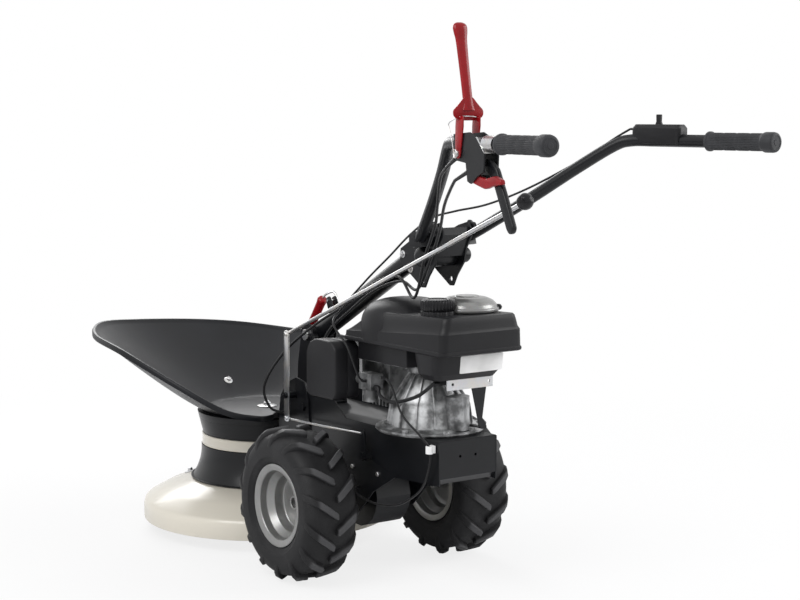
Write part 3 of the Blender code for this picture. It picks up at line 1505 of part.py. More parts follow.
def lever_bracket():
    """Bracket round the left bar that carries the stop lever, clutch lever and latch."""
    bm = bmesh.new()
    frame = bar_frame(-1.0)
    outline = [(0.002, 0.016), (-0.052, 0.020), (-0.074, 0.012), (-0.102, -0.016)]
    outline += [(-0.100, -0.048), (-0.080, -0.056), (-0.058, -0.070), (-0.046, -0.066)]
    outline += [(-0.040, -0.034), (-0.004, -0.030)]
    holes = [(DEADMAN_PIVOT, 0.0038)]
    for start in (0.0126, -0.0156):
        plate(bm, outline, frame @ frame_yz(start), 0.003, holes)
    bracket = finish("lever_bracket", bm, red_paint(), pivot=HEAD_PIVOT)
    bars = bmesh.new()
    for (y, z), radius in ((CLUTCH_PIVOT, 0.0040), (LATCH_PIVOT, 0.0030)):
        cylinder(bars, radius, frame @ Vector((-0.0148, y, z)), frame @ Vector((0.0148, y, z)), 10)
    web = [(-0.042, -0.0135), (-0.090, -0.0135), (-0.090, -0.0165), (-0.042, -0.0165)]
    plate(bars, web, frame @ frame_yz(-0.0150), 0.030)
    boolean(bracket, helper("lever_bracket_bar_shapes", bars), "UNION")
    band = bmesh.new()
    lay = frame @ Matrix.Translation((0.0, -0.122, 0.0)) @ Matrix.Rotation(-math.pi / 2.0, 4, "X")
    bore = around(BAR_RADIUS + SEAT_GAP, SMALL_STEPS)
    turned(band, [(bore, 0.0), (0.0150, 0.0), (0.0150, 0.034), (bore, 0.034)], SMALL_STEPS, lay)
    boolean(bracket, helper("bracket_band_shape", band), "UNION")
    return bracket


def deadman_lever():
    """Red stop lever that straddles the left bar, with its winged paddle."""
    bm = bmesh.new()
    frame = bar_frame(-1.0)
    y, z = DEADMAN_PIVOT
    cheek = arc_2d((y, z), 0.009, 180.0, 360.0, 5)
    cheek += [(-0.009, 0.030), (-0.011, 0.048), (-0.035, 0.048), (-0.035, 0.030)]
    for start in (0.0160, -0.0185):
        plate(bm, cheek, frame @ frame_yz(start), 0.0025)
    lever = finish("deadman_lever", bm, red_paint(), pivot=on_bar(-1.0, DEADMAN_PIVOT))
    paddle = bmesh.new()
    half = [(0.0, 0.078), (0.010, 0.078), (0.020, 0.066), (0.031, 0.057), (0.030, 0.048), (0.0180, 0.041)]
    wing = half[1:] + [(-x, height) for x, height in reversed(half[1:])]
    plate(paddle, wing, frame @ frame_xz(-0.0210), 0.0032)
    boolean(lever, helper("paddle_shape", paddle), "UNION")
    stem = bmesh.new()
    rings = []
    foot = Vector((0.0, -0.0245, 0.058))
    tip = Vector((0.0, 0.009, 0.212))
    for share, wide, deep in ((0.0, 0.0120, 0.005), (0.12, 0.0112, 0.006), (0.80, 0.0118, 0.006),
                              (0.88, 0.0150, 0.008), (0.95, 0.0155, 0.008), (1.0, 0.0095, 0.004)):
        middle = foot.lerp(tip, share)
        points = []
        for step in range(HOLE_STEPS):
            angle = 2.0 * math.pi * step / HOLE_STEPS
            points.append(frame @ (middle + Vector((wide * math.cos(angle), deep * math.sin(angle), 0.0))))
        rings.append(points)
    skin(stem, rings, closed=False)
    boolean(lever, helper("stop_stem_shape", stem), "UNION")
    pin = bmesh.new()
    for side in (-1.0, 1.0):
        start = frame @ Vector((side * 0.0130, y, z))
        cylinder(pin, 0.0035, start, frame @ Vector((side * 0.0215, y, z)), 10)
    boolean(lever, helper("stop_pin_shapes", pin), "UNION")
    return lever


def clutch_lever():
    """Black hand lever that hangs behind its pivot and closes up to the grip."""
    bm = bmesh.new()
    frame = bar_frame(-1.0)
    y, z = CLUTCH_PIVOT
    outline = [(y + 0.0105, z), (y + 0.006, z + 0.009), (y - 0.006, z + 0.009), (-0.118, -0.042)]
    outline += [(-0.147, -0.092), (-0.173, -0.141), (-0.169, -0.150), (-0.159, -0.153)]
    outline += [(-0.151, -0.146), (-0.126, -0.101), (-0.103, -0.060), (y + 0.003, z - 0.011)]
    plate(bm, outline, frame @ frame_yz(-0.0010), 0.0100, [((y, z), 0.0043)])
    return finish("clutch_lever", bm, dark_plastic(), pivot=on_bar(-1.0, CLUTCH_PIVOT))


def clutch_latch():
    """Red latch beside the clutch lever that holds it in its place."""
    bm = bmesh.new()
    frame = bar_frame(-1.0)
    y, z = LATCH_PIVOT
    outline = [(y + 0.007, z - 0.002), (y + 0.004, z + 0.007), (y - 0.010, z + 0.006), (-0.098, -0.060)]
    outline += [(-0.128, -0.054), (-0.150, -0.060), (-0.152, -0.068), (-0.130, -0.070)]
    outline += [(-0.098, -0.078), (y - 0.008, z - 0.012), (y + 0.003, z - 0.009)]
    plate(bm, outline, frame @ frame_yz(-0.0120), 0.0100, [((y, z), 0.0033)])
    return finish("clutch_latch", bm, red_plastic(), pivot=on_bar(-1.0, LATCH_PIVOT))


def throttle_box():
    """Throttle housing saddled on the right bar, slotted for its lever."""
    bm = bmesh.new()
    frame = bar_frame(1.0)
    rings = []
    for inset, height in ((0.001, -0.006), (0.0, -0.003), (0.0, 0.024), (0.004, 0.031)):
        points = []
        for flat in rounded_rectangle(0.0165 - inset, 0.045 - inset, -0.072 + inset, 0.008, height, 2):
            points.append(frame @ flat)
        rings.append(points)
    skin(bm, rings, closed=False)
    case = finish("throttle_box", bm, dark_plastic(), pivot=HEAD_PIVOT)
    groove = bmesh.new()
    swept(groove, bar_path(1.0), BAR_RADIUS + SEAT_GAP, BAR_STEPS)
    boolean(case, helper("throttle_groove_shape", groove), "DIFFERENCE")
    slot = bmesh.new()
    box(slot, (-0.0036, -0.036, 0.0128), (0.0036, 0.012, 0.040))
    bmesh.ops.transform(slot, matrix=frame, verts=slot.verts)
    boolean(case, helper("throttle_slot_shape", slot), "DIFFERENCE")
    return case


def throttle_lever():
    """Thumb lever that turns in the throttle housing's slot."""
    bm = bmesh.new()
    frame = bar_frame(1.0)
    y, z = THROTTLE_PIVOT
    outline = arc_2d((y, z), 0.010, 150.0, 390.0, 10)
    outline += [(y + 0.0050, z + 0.012), (y + 0.0055, z + 0.026), (y - 0.0055, z + 0.026), (y - 0.0050, z + 0.012)]
    plate(bm, outline, frame @ frame_yz(-0.0030), 0.0060)
    return finish("throttle_lever", bm, dark_plastic(), pivot=on_bar(1.0, THROTTLE_PIVOT))


# Engine

def engine_block():
    """Cast engine: round base flange, crankcase, filler column and finned cylinder."""
    bm = bmesh.new()
    foot = DECK_TOP + SEAT_GAP
    top = foot + FLANGE_HEIGHT
    bore = CRANK_RADIUS + RUN_GAP
    flange = [
        (bore, foot),
        (FLANGE_RADIUS - 0.004, foot),
        (FLANGE_RADIUS, foot + 0.004),
        (FLANGE_RADIUS, foot + 0.008),
        (FLANGE_RADIUS - 0.012, foot + 0.009),
        (FLANGE_RADIUS - 0.018, top),
        (bore, top),
    ]
    frame = Matrix.Translation((0.0, ENGINE_Y, 0.0))
    turned(bm, flange, DRUM_STEPS, frame)
    block = finish("engine_block", bm, cast_aluminium())
    case = bmesh.new()
    levels = [(top - 0.002, 0.088), (top + 0.045, 0.080), (top + 0.070, 0.062), (top + 0.105, 0.040)]
    rings = [ring(radius, height, SMALL_STEPS, frame) for height, radius in levels]
    skin(case, rings, closed=False)
    boolean(block, helper("crankcase_shape", case), "UNION")
    more = bmesh.new()
    cylinder(more, 0.027, (0.010, -0.742, top - 0.003), (0.010, -0.742, top + 0.066), SMALL_STEPS)
    boolean(block, helper("filler_shape", more), "UNION")
    boolean(block, helper("cylinder_shape", finned_cylinder()), "UNION")
    housing = bmesh.new()
    box(housing, (-0.085, -0.698, CYLINDER_TOP - 0.0055), (0.085, -0.522, COWL_BELT_BOTTOM - SEAT_GAP))
    boolean(block, helper("blower_housing_shape", housing), "UNION")
    pillar = bmesh.new()
    cylinder(pillar, 0.036, (0.0, -0.650, top + 0.09), (0.0, -0.650, CYLINDER_TOP + 0.01), SMALL_STEPS)
    boolean(block, helper("blower_pillar_shape", pillar), "UNION")
    boolean(block, helper("engine_bolt_shapes", engine_bolts()), "UNION")
    hollow = bmesh.new()
    cylinder(hollow, around(bore, 12), (0.0, ENGINE_Y, foot - 0.01), (0.0, ENGINE_Y, foot + 0.06), 12)
    boolean(block, helper("crank_bore_shape", hollow), "DIFFERENCE")
    return block


def engine_bolts():
    """Bolt heads round the engine's base flange."""
    bm = bmesh.new()
    seat = DECK_TOP + SEAT_GAP + 0.0075
    for angle in (205.0, 252.0, 288.0, 335.0, 75.0, 105.0):
        spot = Vector((math.cos(math.radians(angle)), math.sin(math.radians(angle)), 0.0)) * 0.1055
        frame = Matrix.Translation((spot.x, ENGINE_Y + spot.y, seat))
        turned(bm, [(0.0, 0.0), (0.007, 0.0), (0.007, 0.0068), (0.0, 0.0068)], 6, frame)
    return bm


def finned_cylinder():
    """Block with cooling fins that points forward from the crankcase."""
    bm = bmesh.new()
    below = []
    above = []
    for index in range(FIN_COUNT):
        y = CYLINDER_REAR_Y + FIN_PITCH * index
        below += [(y, CYLINDER_FOOT), (y + FIN_THICKNESS, CYLINDER_FOOT)]
        above += [(y, CYLINDER_TOP), (y + FIN_THICKNESS, CYLINDER_TOP)]
        if index < FIN_COUNT - 1:
            for near, outline, height in ((1.0, below, CYLINDER_FOOT), (-1.0, above, CYLINDER_TOP)):
                groove = height + near * FIN_DEPTH
                outline += [(y + FIN_THICKNESS, groove), (y + FIN_PITCH, groove)]
    width = 2.0 * CYLINDER_HALF_WIDTH
    plate(bm, below + list(reversed(above)), frame_yz(-CYLINDER_HALF_WIDTH), width)
    return bm


def crankshaft():
    """Vertical crankshaft end that carries the engine pulley."""
    bm = bmesh.new()
    start = (0.0, ENGINE_Y, BELT_Z - PULLEY_HALF_WIDTH - 0.004)
    end = (0.0, ENGINE_Y, DECK_TOP + FLANGE_HEIGHT + 0.045)
    cylinder(bm, CRANK_RADIUS, start, end, 12)
    shaft = finish("crankshaft", bm, steel(), pivot=(0.0, ENGINE_Y, BELT_Z))
    wheel = bmesh.new()
    add_pulley(wheel, ENGINE_Y, ENGINE_PULLEY_RADIUS, ENGINE_GROOVE_RADIUS, WHEEL_STEPS)
    boolean(shaft, helper("engine_pulley_shape", wheel), "UNION")
    return shaft


def rounded_rectangle(half_x, front, rear, corner, z, steps=3):
    """Outline of a rounded rectangle at a height."""
    points = []
    corners = [
        (half_x - corner, front - corner, 0.0),
        (-half_x + corner, front - corner, 90.0),
        (-half_x + corner, rear + corner, 180.0),
        (half_x - corner, rear + corner, 270.0),
    ]
    for x, y, first in corners:
        for flat in arc_2d((x, y), corner, first, first + 90.0, steps):
            points.append(Vector((flat[0], flat[1], z)))
    return points


def engine_cowl():
    """Engine cover and tank shell with its belt, shoulder and left dome."""
    bm = bmesh.new()
    rows = [
        (COWL_HALF_X - 0.004, COWL_FRONT_Y - 0.004, COWL_REAR_Y + 0.004, COWL_BELT_BOTTOM),
        (COWL_HALF_X, COWL_FRONT_Y, COWL_REAR_Y, COWL_BELT_BOTTOM + 0.005),
        (COWL_HALF_X - 0.003, COWL_FRONT_Y - 0.004, COWL_REAR_Y + 0.003, COWL_BELT_TOP),
        (COWL_HALF_X - 0.010, COWL_FRONT_Y - 0.5 * COWL_SLOPE_RUN, COWL_REAR_Y + 0.006, COWL_TOP - 0.013),
        (COWL_HALF_X - 0.014, COWL_FRONT_Y - COWL_SLOPE_RUN, COWL_REAR_Y + 0.008, COWL_TOP),
    ]
    rings = []
    for half, front, rear, z in rows:
        rings.append(rounded_rectangle(half, front, rear, COWL_CORNER, z, 4))
    skin(bm, rings, closed=False)
    cowl = finish("engine_cowl", bm, dark_plastic(), smooth_angle=40.0)
    dome = bmesh.new()
    levels = [(0.540, 0.096, 0.098), (0.572, 0.092, 0.092), (0.590, 0.078, 0.076)]
    levels += [(0.600, 0.054, 0.052), (0.6035, 0.030, 0.028)]
    rings = []
    for z, radius_x, radius_y in levels:
        points = []
        for step in range(DOME_STEPS):
            angle = 2.0 * math.pi * step / DOME_STEPS
            x = DOME_CENTRE[0] + radius_x * math.cos(angle)
            y = DOME_CENTRE[1] + radius_y * math.sin(angle)
            points.append(Vector((x, y, z)))
        rings.append(points)
    skin(dome, rings, closed=False)
    boolean(cowl, helper("cowl_dome_shape", dome), "UNION")
    neck = bmesh.new()
    top = CAP_PLACE + Vector((0.0, 0.0, CAP_NECK_HEIGHT))
    cylinder(neck, CAP_NECK_RADIUS, CAP_PLACE - Vector((0.0, 0.0, 0.003)), top, 16)
    boolean(cowl, helper("filler_neck_shape", neck), "UNION")
    return cowl


def fuel_tank():
    """Lower half of the fuel tank, hung under the cowl at the rear."""
    bm = bmesh.new()
    top = COWL_BELT_BOTTOM - SEAT_GAP
    rows = [
        (TANK_BOTTOM, TANK_HALF_X - 0.012, -0.750, -0.806),
        (TANK_BOTTOM + 0.012, TANK_HALF_X - 0.004, -0.742, -0.813),
        (top, TANK_HALF_X, -0.736, -0.818),
    ]
    rings = []
    for z, half, front, rear in rows:
        ring_points = rounded_rectangle(half, front, rear, 0.018, z)
        rings.append([point + Vector((TANK_MIDDLE_X, 0.0, 0.0)) for point in ring_points])
    skin(bm, rings, closed=False)
    tank = finish("fuel_tank", bm, dark_plastic())
    tap = bmesh.new()
    foot = TANK_BOTTOM
    x, y = TANK_TAP
    cylinder(tap, 0.009, (x, y, foot - 0.020), (x, y, foot + 0.003), 12)
    boolean(tank, helper("fuel_tap_shape", tap), "UNION")
    spout = bmesh.new()
    box(spout, (x - 0.028, y - 0.005, foot - 0.016), (x - 0.002, y + 0.005, foot - 0.008))
    boolean(tank, helper("fuel_spout_shape", spout), "UNION")
    return tank


def fuel_cap():
    """Ribbed screw cap of the fuel tank."""
    bm = bmesh.new()
    foot = CAP_PLACE.z + SEAT_GAP + CAP_NECK_HEIGHT
    rings = []
    for radius, height, rib in ((0.034, 0.0, 0.0), (0.0355, 0.003, 0.0012), (0.0345, 0.018, 0.0012), (0.030, 0.022, 0.0)):
        points = []
        for step in range(24):
            angle = 2.0 * math.pi * step / 24
            reach = radius + rib * (1.0 if step % 2 else -1.0)
            flat = Vector((reach * math.cos(angle), reach * math.sin(angle), foot + height))
            points.append(Vector((CAP_PLACE.x, CAP_PLACE.y, 0.0)) + flat)
        rings.append(points)
    skin(bm, rings, closed=False)
    return finish("fuel_cap", bm, dark_plastic(), pivot=(CAP_PLACE.x, CAP_PLACE.y, foot))


def starter_cover():
    """Domed cover of the recoil starter, cut back round the cap and for the pull grip."""
    bm = bmesh.new()
    foot = COWL_TOP + SEAT_GAP
    profile = [(0.0, 0.0), (1.0, 0.0), (0.985, 0.006), (0.89, 0.016), (0.70, 0.024), (0.42, 0.029), (0.0, 0.031)]
    profile = [(share * STARTER_RADIUS, height) for share, height in profile]
    turned(bm, profile, DRUM_STEPS, Matrix.Translation((*STARTER_CENTRE, foot)))
    cover = finish("starter_cover", bm, dark_plastic())
    cut = bmesh.new()
    cylinder(cut, 0.040, CAP_PLACE + Vector((0.0, 0.0, -0.01)), CAP_PLACE + Vector((0.0, 0.0, 0.06)), 20)
    boolean(cover, helper("cap_relief_shape", cut), "DIFFERENCE")
    slot = bmesh.new()
    half_width = STARTER_GRIP_RADIUS + 0.004
    box(slot, (-STARTER_GRIP_HALF - 0.004, -half_width, -0.02), (0.06, half_width, 0.05))
    turn = STARTER_PULL.to_track_quat("X", "Z").to_matrix().to_4x4()
    bmesh.ops.transform(slot, matrix=Matrix.Translation(STARTER_GRIP_PLACE) @ turn, verts=slot.verts)
    boolean(cover, helper("grip_slot_shape", slot), "DIFFERENCE")
    return cover


def starter_grip():
    """Pull grip of the recoil starter, at rest in its slot."""
    bm = bmesh.new()
    reach = STARTER_PULL.normalized() * STARTER_GRIP_HALF
    cylinder(bm, STARTER_GRIP_RADIUS, STARTER_GRIP_PLACE - reach, STARTER_GRIP_PLACE + reach, 10)
    return finish("starter_grip", bm, dark_plastic(), pivot=STARTER_GRIP_PLACE)


def air_filter_box():
    """Air filter housing on the left, chamfered along its top and front."""
    bm = bmesh.new()
    outline = [
        (-0.404, 0.392),
        (-0.404, 0.480),
        (-0.418, 0.502),
        (-0.440, 0.5105),
        (-0.500, 0.5105),
        (-0.519, 0.494),
        (-0.519, 0.400),
        (-0.512, 0.385),
        (-0.415, 0.385),
    ]
    plate(bm, outline, frame_yz(-0.142), 0.064)
    case = finish("air_filter_box", bm, dark_plastic())
    edge = case.modifiers.new("edge", "BEVEL")
    edge.width = 0.006
    edge.segments = 1
    edge.limit_method = "ANGLE"
    edge.angle_limit = math.radians(60.0)
    return case


def carburettor():
    """Carburettor with its float bowl, between the filter box and the cylinder."""
    bm = bmesh.new()
    centre = Vector((-0.078, -0.560, 0.425))
    box(bm, centre + Vector((-0.016, -0.022, -0.014)), centre + Vector((0.016, 0.024, 0.020)))
    carb = finish("carburettor", bm, cast_aluminium())
    extra = bmesh.new()
    cylinder(extra, 0.015, centre + Vector((0.0, 0.0, -0.040)), centre + Vector((0.0, 0.0, -0.010)), 14)
    reach = 0.078 - 0.050 - SEAT_GAP
    cylinder(extra, 0.012, centre + Vector((0.010, 0.0, 0.004)), centre + Vector((reach, 0.0, 0.004)), 12)
    front = 0.560 - 0.519 - SEAT_GAP
    inlet = Vector((-0.002, 0.0, 0.004))
    cylinder(extra, 0.011, centre + inlet, centre + inlet + Vector((0.0, front, 0.0)), 12)
    boolean(carb, helper("carburettor_shapes", extra), "UNION")
    return carb


def muffler():
    """Muffler on the engine's right side with its outlet."""
    bm = bmesh.new()
    rings = []
    for x, inset in ((0.0503, 0.0), (0.088, 0.0), (0.096, 0.008)):
        points = []
        for flat in rounded_rectangle(0.030 - inset, -0.488 - inset, -0.568 + inset, 0.012, 0.0, 2):
            points.append(Vector((x + SEAT_GAP, flat.y, 0.435 + flat.x)))
        rings.append(points)
    skin(bm, rings, closed=False)
    return finish("muffler", bm, steel())


def tank_bracket():
    """Zinc bracket under the tank with its stay down to the base flange."""
    bm = bmesh.new()
    top = TANK_BOTTOM - SEAT_GAP
    outline = [(-0.050, top), (-0.050, top - 0.024), (0.066, top - 0.024), (0.066, top)]
    holes = [((-0.036, top - 0.012), 0.003), ((0.056, top - 0.012), 0.003)]
    plate(bm, outline, frame_xz(-0.7870), 0.003, holes)
    bracket = finish("tank_bracket", bm, zinc())
    foot = DECK_TOP + 3.0 * SEAT_GAP + FLANGE_HEIGHT
    stay = bmesh.new()
    leg = [(0.051, top - 0.020), (0.013, top - 0.020), (0.029, 0.372), (0.033, foot + 0.006), (0.040, foot)]
    leg += [(0.052, foot), (0.052, foot + 0.006), (0.041, 0.372)]
    plate(stay, leg, frame_xz(-0.7855), 0.003)
    boolean(bracket, helper("tank_stay_shape", stay), "UNION")
    toe = bmesh.new()
    box(toe, (0.0405, -0.7880, foot), (0.0515, -0.7440, foot + 0.003))
    boolean(bracket, helper("tank_stay_foot_shape", toe), "UNION")
    return bracket


# Cables and hose

def routed(points):
    """Smooth route through the points with a straight run at each end."""
    return [Vector(points[0])] + smooth_path(points[1:-1], 2) + [Vector(points[-1])]


def throttle_cable():
    """Cable from the throttle housing down the column to the carburettor."""
    start = bar_frame(1.0) @ Vector((0.0, 0.045 + 3.0 * SEAT_GAP, 0.0215))
    points = [
        start,
        bar_frame(1.0) @ Vector((0.0, 0.060, 0.0215)),
        (0.2180, -0.985, 0.942),
        (0.1830, -0.925, 0.898),
        (0.1220, -0.835, 0.840),
        (0.0700, -0.765, 0.805),
        (0.0250, -0.715, 0.790),
        (-0.0100, -0.680, 0.775),
        (-0.0290, -0.630, 0.738),
        (-0.0300, -0.560, 0.690),
        (-0.0400, -0.490, 0.636),
        (-0.0850, -0.455, 0.570),
        (-0.1220, -0.482, 0.545),
        (-0.1240, -0.538, 0.503),
        (-0.1140, -0.562, 0.446),
        (-0.1030, -0.565, 0.431),
        (-0.0946, -0.565, 0.431),
    ]
    return rod("throttle_cable", routed(points), THIN_CABLE_RADIUS, cable_black())


def clutch_cable():
    """Cable from the clutch lever down the column to the belt tensioner in the deck."""
    start = bar_frame(-1.0) @ Vector((0.004, -0.043 + 0.012, -0.045))
    points = [
        start,
        (-0.2330, -1.055, 0.870),
        (-0.2100, -1.010, 0.850),
        (-0.1600, -0.925, 0.815),
        (-0.1000, -0.830, 0.760),
        (-0.0740, -0.765, 0.700),
        (-0.0520, -0.690, 0.632),
        (-0.0290, -0.600, 0.640),
        (-0.0270, -0.500, 0.612),
        (-0.0290, -0.400, 0.556),
        (-0.0400, -0.330, 0.500),
        (-0.0540, -0.318, 0.430),
        (-0.0560, -0.325, 0.375),
        (-0.0550, -0.330, 0.348),
        (-0.0550, -0.330, DECK_TOP + 2.0 * SEAT_GAP),
    ]
    return rod("clutch_cable", routed(points), CABLE_RADIUS, cable_black())


def brake_cable():
    """Cable from the stop lever down the column, looped forward to the neck."""
    start = bar_frame(-1.0) @ Vector((-0.008, 0.006, -0.027))
    points = [
        start,
        (-0.2330, -1.030, 0.893),
        (-0.2060, -0.975, 0.870),
        (-0.1500, -0.890, 0.812),
        (-0.0960, -0.810, 0.770),
        (-0.0780, -0.750, 0.700),
        (-0.0600, -0.690, 0.615),
        (-0.0360, -0.600, 0.650),
        (-0.0340, -0.500, 0.626),
        (-0.0360, -0.400, 0.572),
        (-0.0500, -0.310, 0.525),
        (-0.0780, -0.238, 0.468),
        (-0.1050, -0.200, 0.412),
        (-0.1200, -0.188, 0.365),
        (-0.1120, -0.200, 0.325),
        (-0.0920, -0.214, 0.312),
        (-CHASSIS_X - CHEEK_SHEET - 2.0 * SEAT_GAP, -0.214, 0.312),
    ]
    return rod("brake_cable", routed(points), CABLE_RADIUS, cable_black())


def stop_cable():
    """Thin cable from the engine's speed plate, round the corner to the gearbox."""
    points = [
        (-0.0660, -0.5830, 0.4370),
        (-0.0660, -0.5960, 0.4370),
        (-0.0880, -0.6500, 0.4280),
        (-0.1080, -0.7150, 0.3820),
        (-0.0990, -0.7650, 0.3450),
        (-0.0850, -0.7780, 0.3180),
        (-0.0850, -0.7750, 0.2760),
        (-0.0850, -0.7500, 0.2320),
        (-0.0850, -0.7000, 0.1980),
        (-0.0850, -0.6540, 0.1800),
        (-0.0850, -0.5840, 0.1710),
        (-0.0870, -0.5250, 0.1780),
        (-0.0830, -0.5060, 0.1900),
        (-CHASSIS_X - 2.0 * SEAT_GAP, -0.5050, 0.1900),
    ]
    return rod("stop_cable", routed(points), THIN_CABLE_RADIUS, cable_black())


def fuel_hose():
    """Fuel hose that sags from the tap round to the carburettor."""
    start = Vector((TANK_TAP[0] - 0.028 - SEAT_GAP, TANK_TAP[1], TANK_BOTTOM - 0.012))
    points = [
        start,
        start - Vector((0.0127, 0.0, 0.0)),
        (-0.0780, -0.7250, 0.4180),
        (-0.0900, -0.6600, 0.3980),
        (-0.0880, -0.6100, 0.4030),
        (-0.0820, -0.5920, 0.4180),
        (-0.0820, -0.5824, 0.4180),
    ]
    return rod("fuel_hose", routed(points), HOSE_RADIUS, cable_black())


def build_drum():
    """Everything that turns under and in the neck."""
    skid_dish()
    cutting_disc()
    for index, place in enumerate(blade_places()):
        blade(index, place)
    drum_skirt()
    drum_shaft()


def build_neck():
    """The fixed neck, its bearings and the guard dish."""
    neck_band()
    neck_bearing()
    neck_cone()
    guard_dish()
    dish_bolt()


def build_wheels():
    """Rims, tyres and their axle."""
    for name, side in (("left", -1.0), ("right", 1.0)):
        rim(f"{name}_rim", side)
        tyre(f"{name}_tyre", side)
    wheel_axle()


def build_chassis():
    """The frame, the gearbox and the shift linkage."""
    chassis_frame()
    gearbox_housing()
    strap_lever()
    link_rod()
    gear_lever()
    shift_rod()
    shift_knob()


def build_engine():
    """The engine and what is bolted to it."""
    engine_block()
    crankshaft()
    drive_belt()
    engine_cowl()
    fuel_tank()
    fuel_cap()
    starter_cover()
    starter_grip()
    air_filter_box()
    carburettor()
    muffler()
    tank_bracket()
    fuel_hose()


def build_column():
    """The column with its lock and the handlebar head."""
    column_base()
    column_pin()
    column()
    lock_wire()
    lock_sleeve()
    head_bracket()
    head_bolt()
    for name, side in (("left", -1.0), ("right", 1.0)):
        handlebar(f"{name}_bar", side)
        grip(f"{name}_grip", side)
        clamp_knob(f"{name}_knob", side)


def build_controls():
    """Levers on the bars and the cables that lead down from them."""
    lever_bracket()
    deadman_lever()
    clutch_lever()
    clutch_latch()
    throttle_box()
    throttle_lever()
    throttle_cable()
    clutch_cable()
    brake_cable()
    stop_cable()


def main():
    clear_scene()
    build_drum()
    build_neck()
    build_wheels()
    build_chassis()
    build_engine()
    build_column()
    build_controls()


main()
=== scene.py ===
import json
import math

import bmesh
import bpy
import numpy as np
from bpy.props import FloatProperty, FloatVectorProperty, PointerProperty
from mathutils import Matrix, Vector


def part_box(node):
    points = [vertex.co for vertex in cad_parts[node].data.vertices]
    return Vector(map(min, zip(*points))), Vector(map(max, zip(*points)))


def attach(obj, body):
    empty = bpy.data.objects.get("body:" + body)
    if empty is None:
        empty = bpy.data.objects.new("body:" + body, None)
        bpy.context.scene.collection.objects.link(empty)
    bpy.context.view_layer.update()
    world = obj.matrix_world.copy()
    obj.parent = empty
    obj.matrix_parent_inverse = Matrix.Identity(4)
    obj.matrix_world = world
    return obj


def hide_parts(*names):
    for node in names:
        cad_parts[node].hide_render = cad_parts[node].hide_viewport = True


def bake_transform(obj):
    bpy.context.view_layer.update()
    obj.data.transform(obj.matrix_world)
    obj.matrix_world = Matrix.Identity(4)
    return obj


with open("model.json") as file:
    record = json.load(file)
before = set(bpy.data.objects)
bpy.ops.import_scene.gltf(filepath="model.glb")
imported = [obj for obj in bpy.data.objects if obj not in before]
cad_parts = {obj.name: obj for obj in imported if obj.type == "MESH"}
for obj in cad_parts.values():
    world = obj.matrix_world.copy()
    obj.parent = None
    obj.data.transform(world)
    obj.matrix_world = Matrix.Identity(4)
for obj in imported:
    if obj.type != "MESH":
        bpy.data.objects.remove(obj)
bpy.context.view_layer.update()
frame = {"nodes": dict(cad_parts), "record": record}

bl_info = {
    "name": "Drum Mower",
    "version": (1, 0, 0),
    "blender": (4, 5, 0),
    "location": "View3D > Sidebar > Mower",
    "description": "Dresses a walk-behind drum mower over its packed solids",
    "category": "Object",
}

MM = 1000.0
"""Millimetres in a metre. Shapes are worked out in millimetres and Shell.grid brings them to metres."""

DRUM_POSTS = 262.0
"""Radius of the circle that the blades' posts stand on."""

WHEEL_X, AXLE_Y, AXLE_Z = 200.0, -460.0, 165.0
"""Middle of a wheel: across, along and above the ground."""

LUGS = 14
"""Lugs on each side of a tyre."""

ENGINE_Y = -663.0
CAP_PLACE = (-46.0, -752.0, 0.0)
STARTER_PLACE = (36.0, -742.0, 0.0)
COLUMN_FOOT = (0.0, -235.0, 488.0)
COLUMN_HEAD = (0.0, -650.0, 711.4)
HEAD_PIVOT = (0.0, -694.0, 698.0)
PLATE_X = 38.3
"""Outside of the head's plates."""

BAR_START = (233.5, -1075.0, 937.0)
BAR_ALONG, BAR_ACROSS = 0.99339, 0.11476
"""Place and direction of the bars' straight ends."""


# Settings

def colour(name, default, description):
    """A colour setting with its linear default."""
    return FloatVectorProperty(
        name=name, description=description, default=default, subtype="COLOR", size=3, min=0.0, max=1.0)


def length(name, default, description):
    """A length setting in metres."""
    return FloatProperty(
        name=name, description=description, default=default, unit="LENGTH", subtype="DISTANCE", min=0.0, precision=4)


class MOWER_PG_colours(bpy.types.PropertyGroup):
    """Colours of the mower's finishes."""

    black: colour("Black paint", (0.0055, 0.006, 0.0075), "Satin black of the sheet metal, the column and the bars")
    dish: colour("Dish plastic", (0.0065, 0.007, 0.009), "Moulded swath guard")
    cowl: colour("Cowl plastic", (0.010, 0.010, 0.0115), "Engine cover, tank and filter box")
    cream: colour("Cream paint", (0.80, 0.755, 0.655), "Cutting drum, neck band and carrier arm")
    silver: colour("Rim silver", (0.28, 0.28, 0.275), "Metallic paint of the wheel rims")
    tyre: colour("Tyre rubber", (0.013, 0.013, 0.014), "Field tyres")
    grip: colour("Grip rubber", (0.030, 0.031, 0.034), "Ribbed handlebar grips")
    red: colour("Red plastic", (0.30, 0.006, 0.010), "Levers, latch and lock sleeve")
    zinc: colour("Zinc", (0.60, 0.61, 0.63), "Plated rods, straps and bolts")
    alloy: colour("Cast alloy", (0.40, 0.405, 0.41), "Engine castings")
    steel: colour("Bare steel", (0.30, 0.30, 0.31), "Shafts, blades and the skid")
    cable: colour("Cable sleeve", (0.007, 0.007, 0.008), "Control cables and hoses")
    plate: colour("Bare plate", (0.80, 0.80, 0.79), "Plate on the tank, left without print")


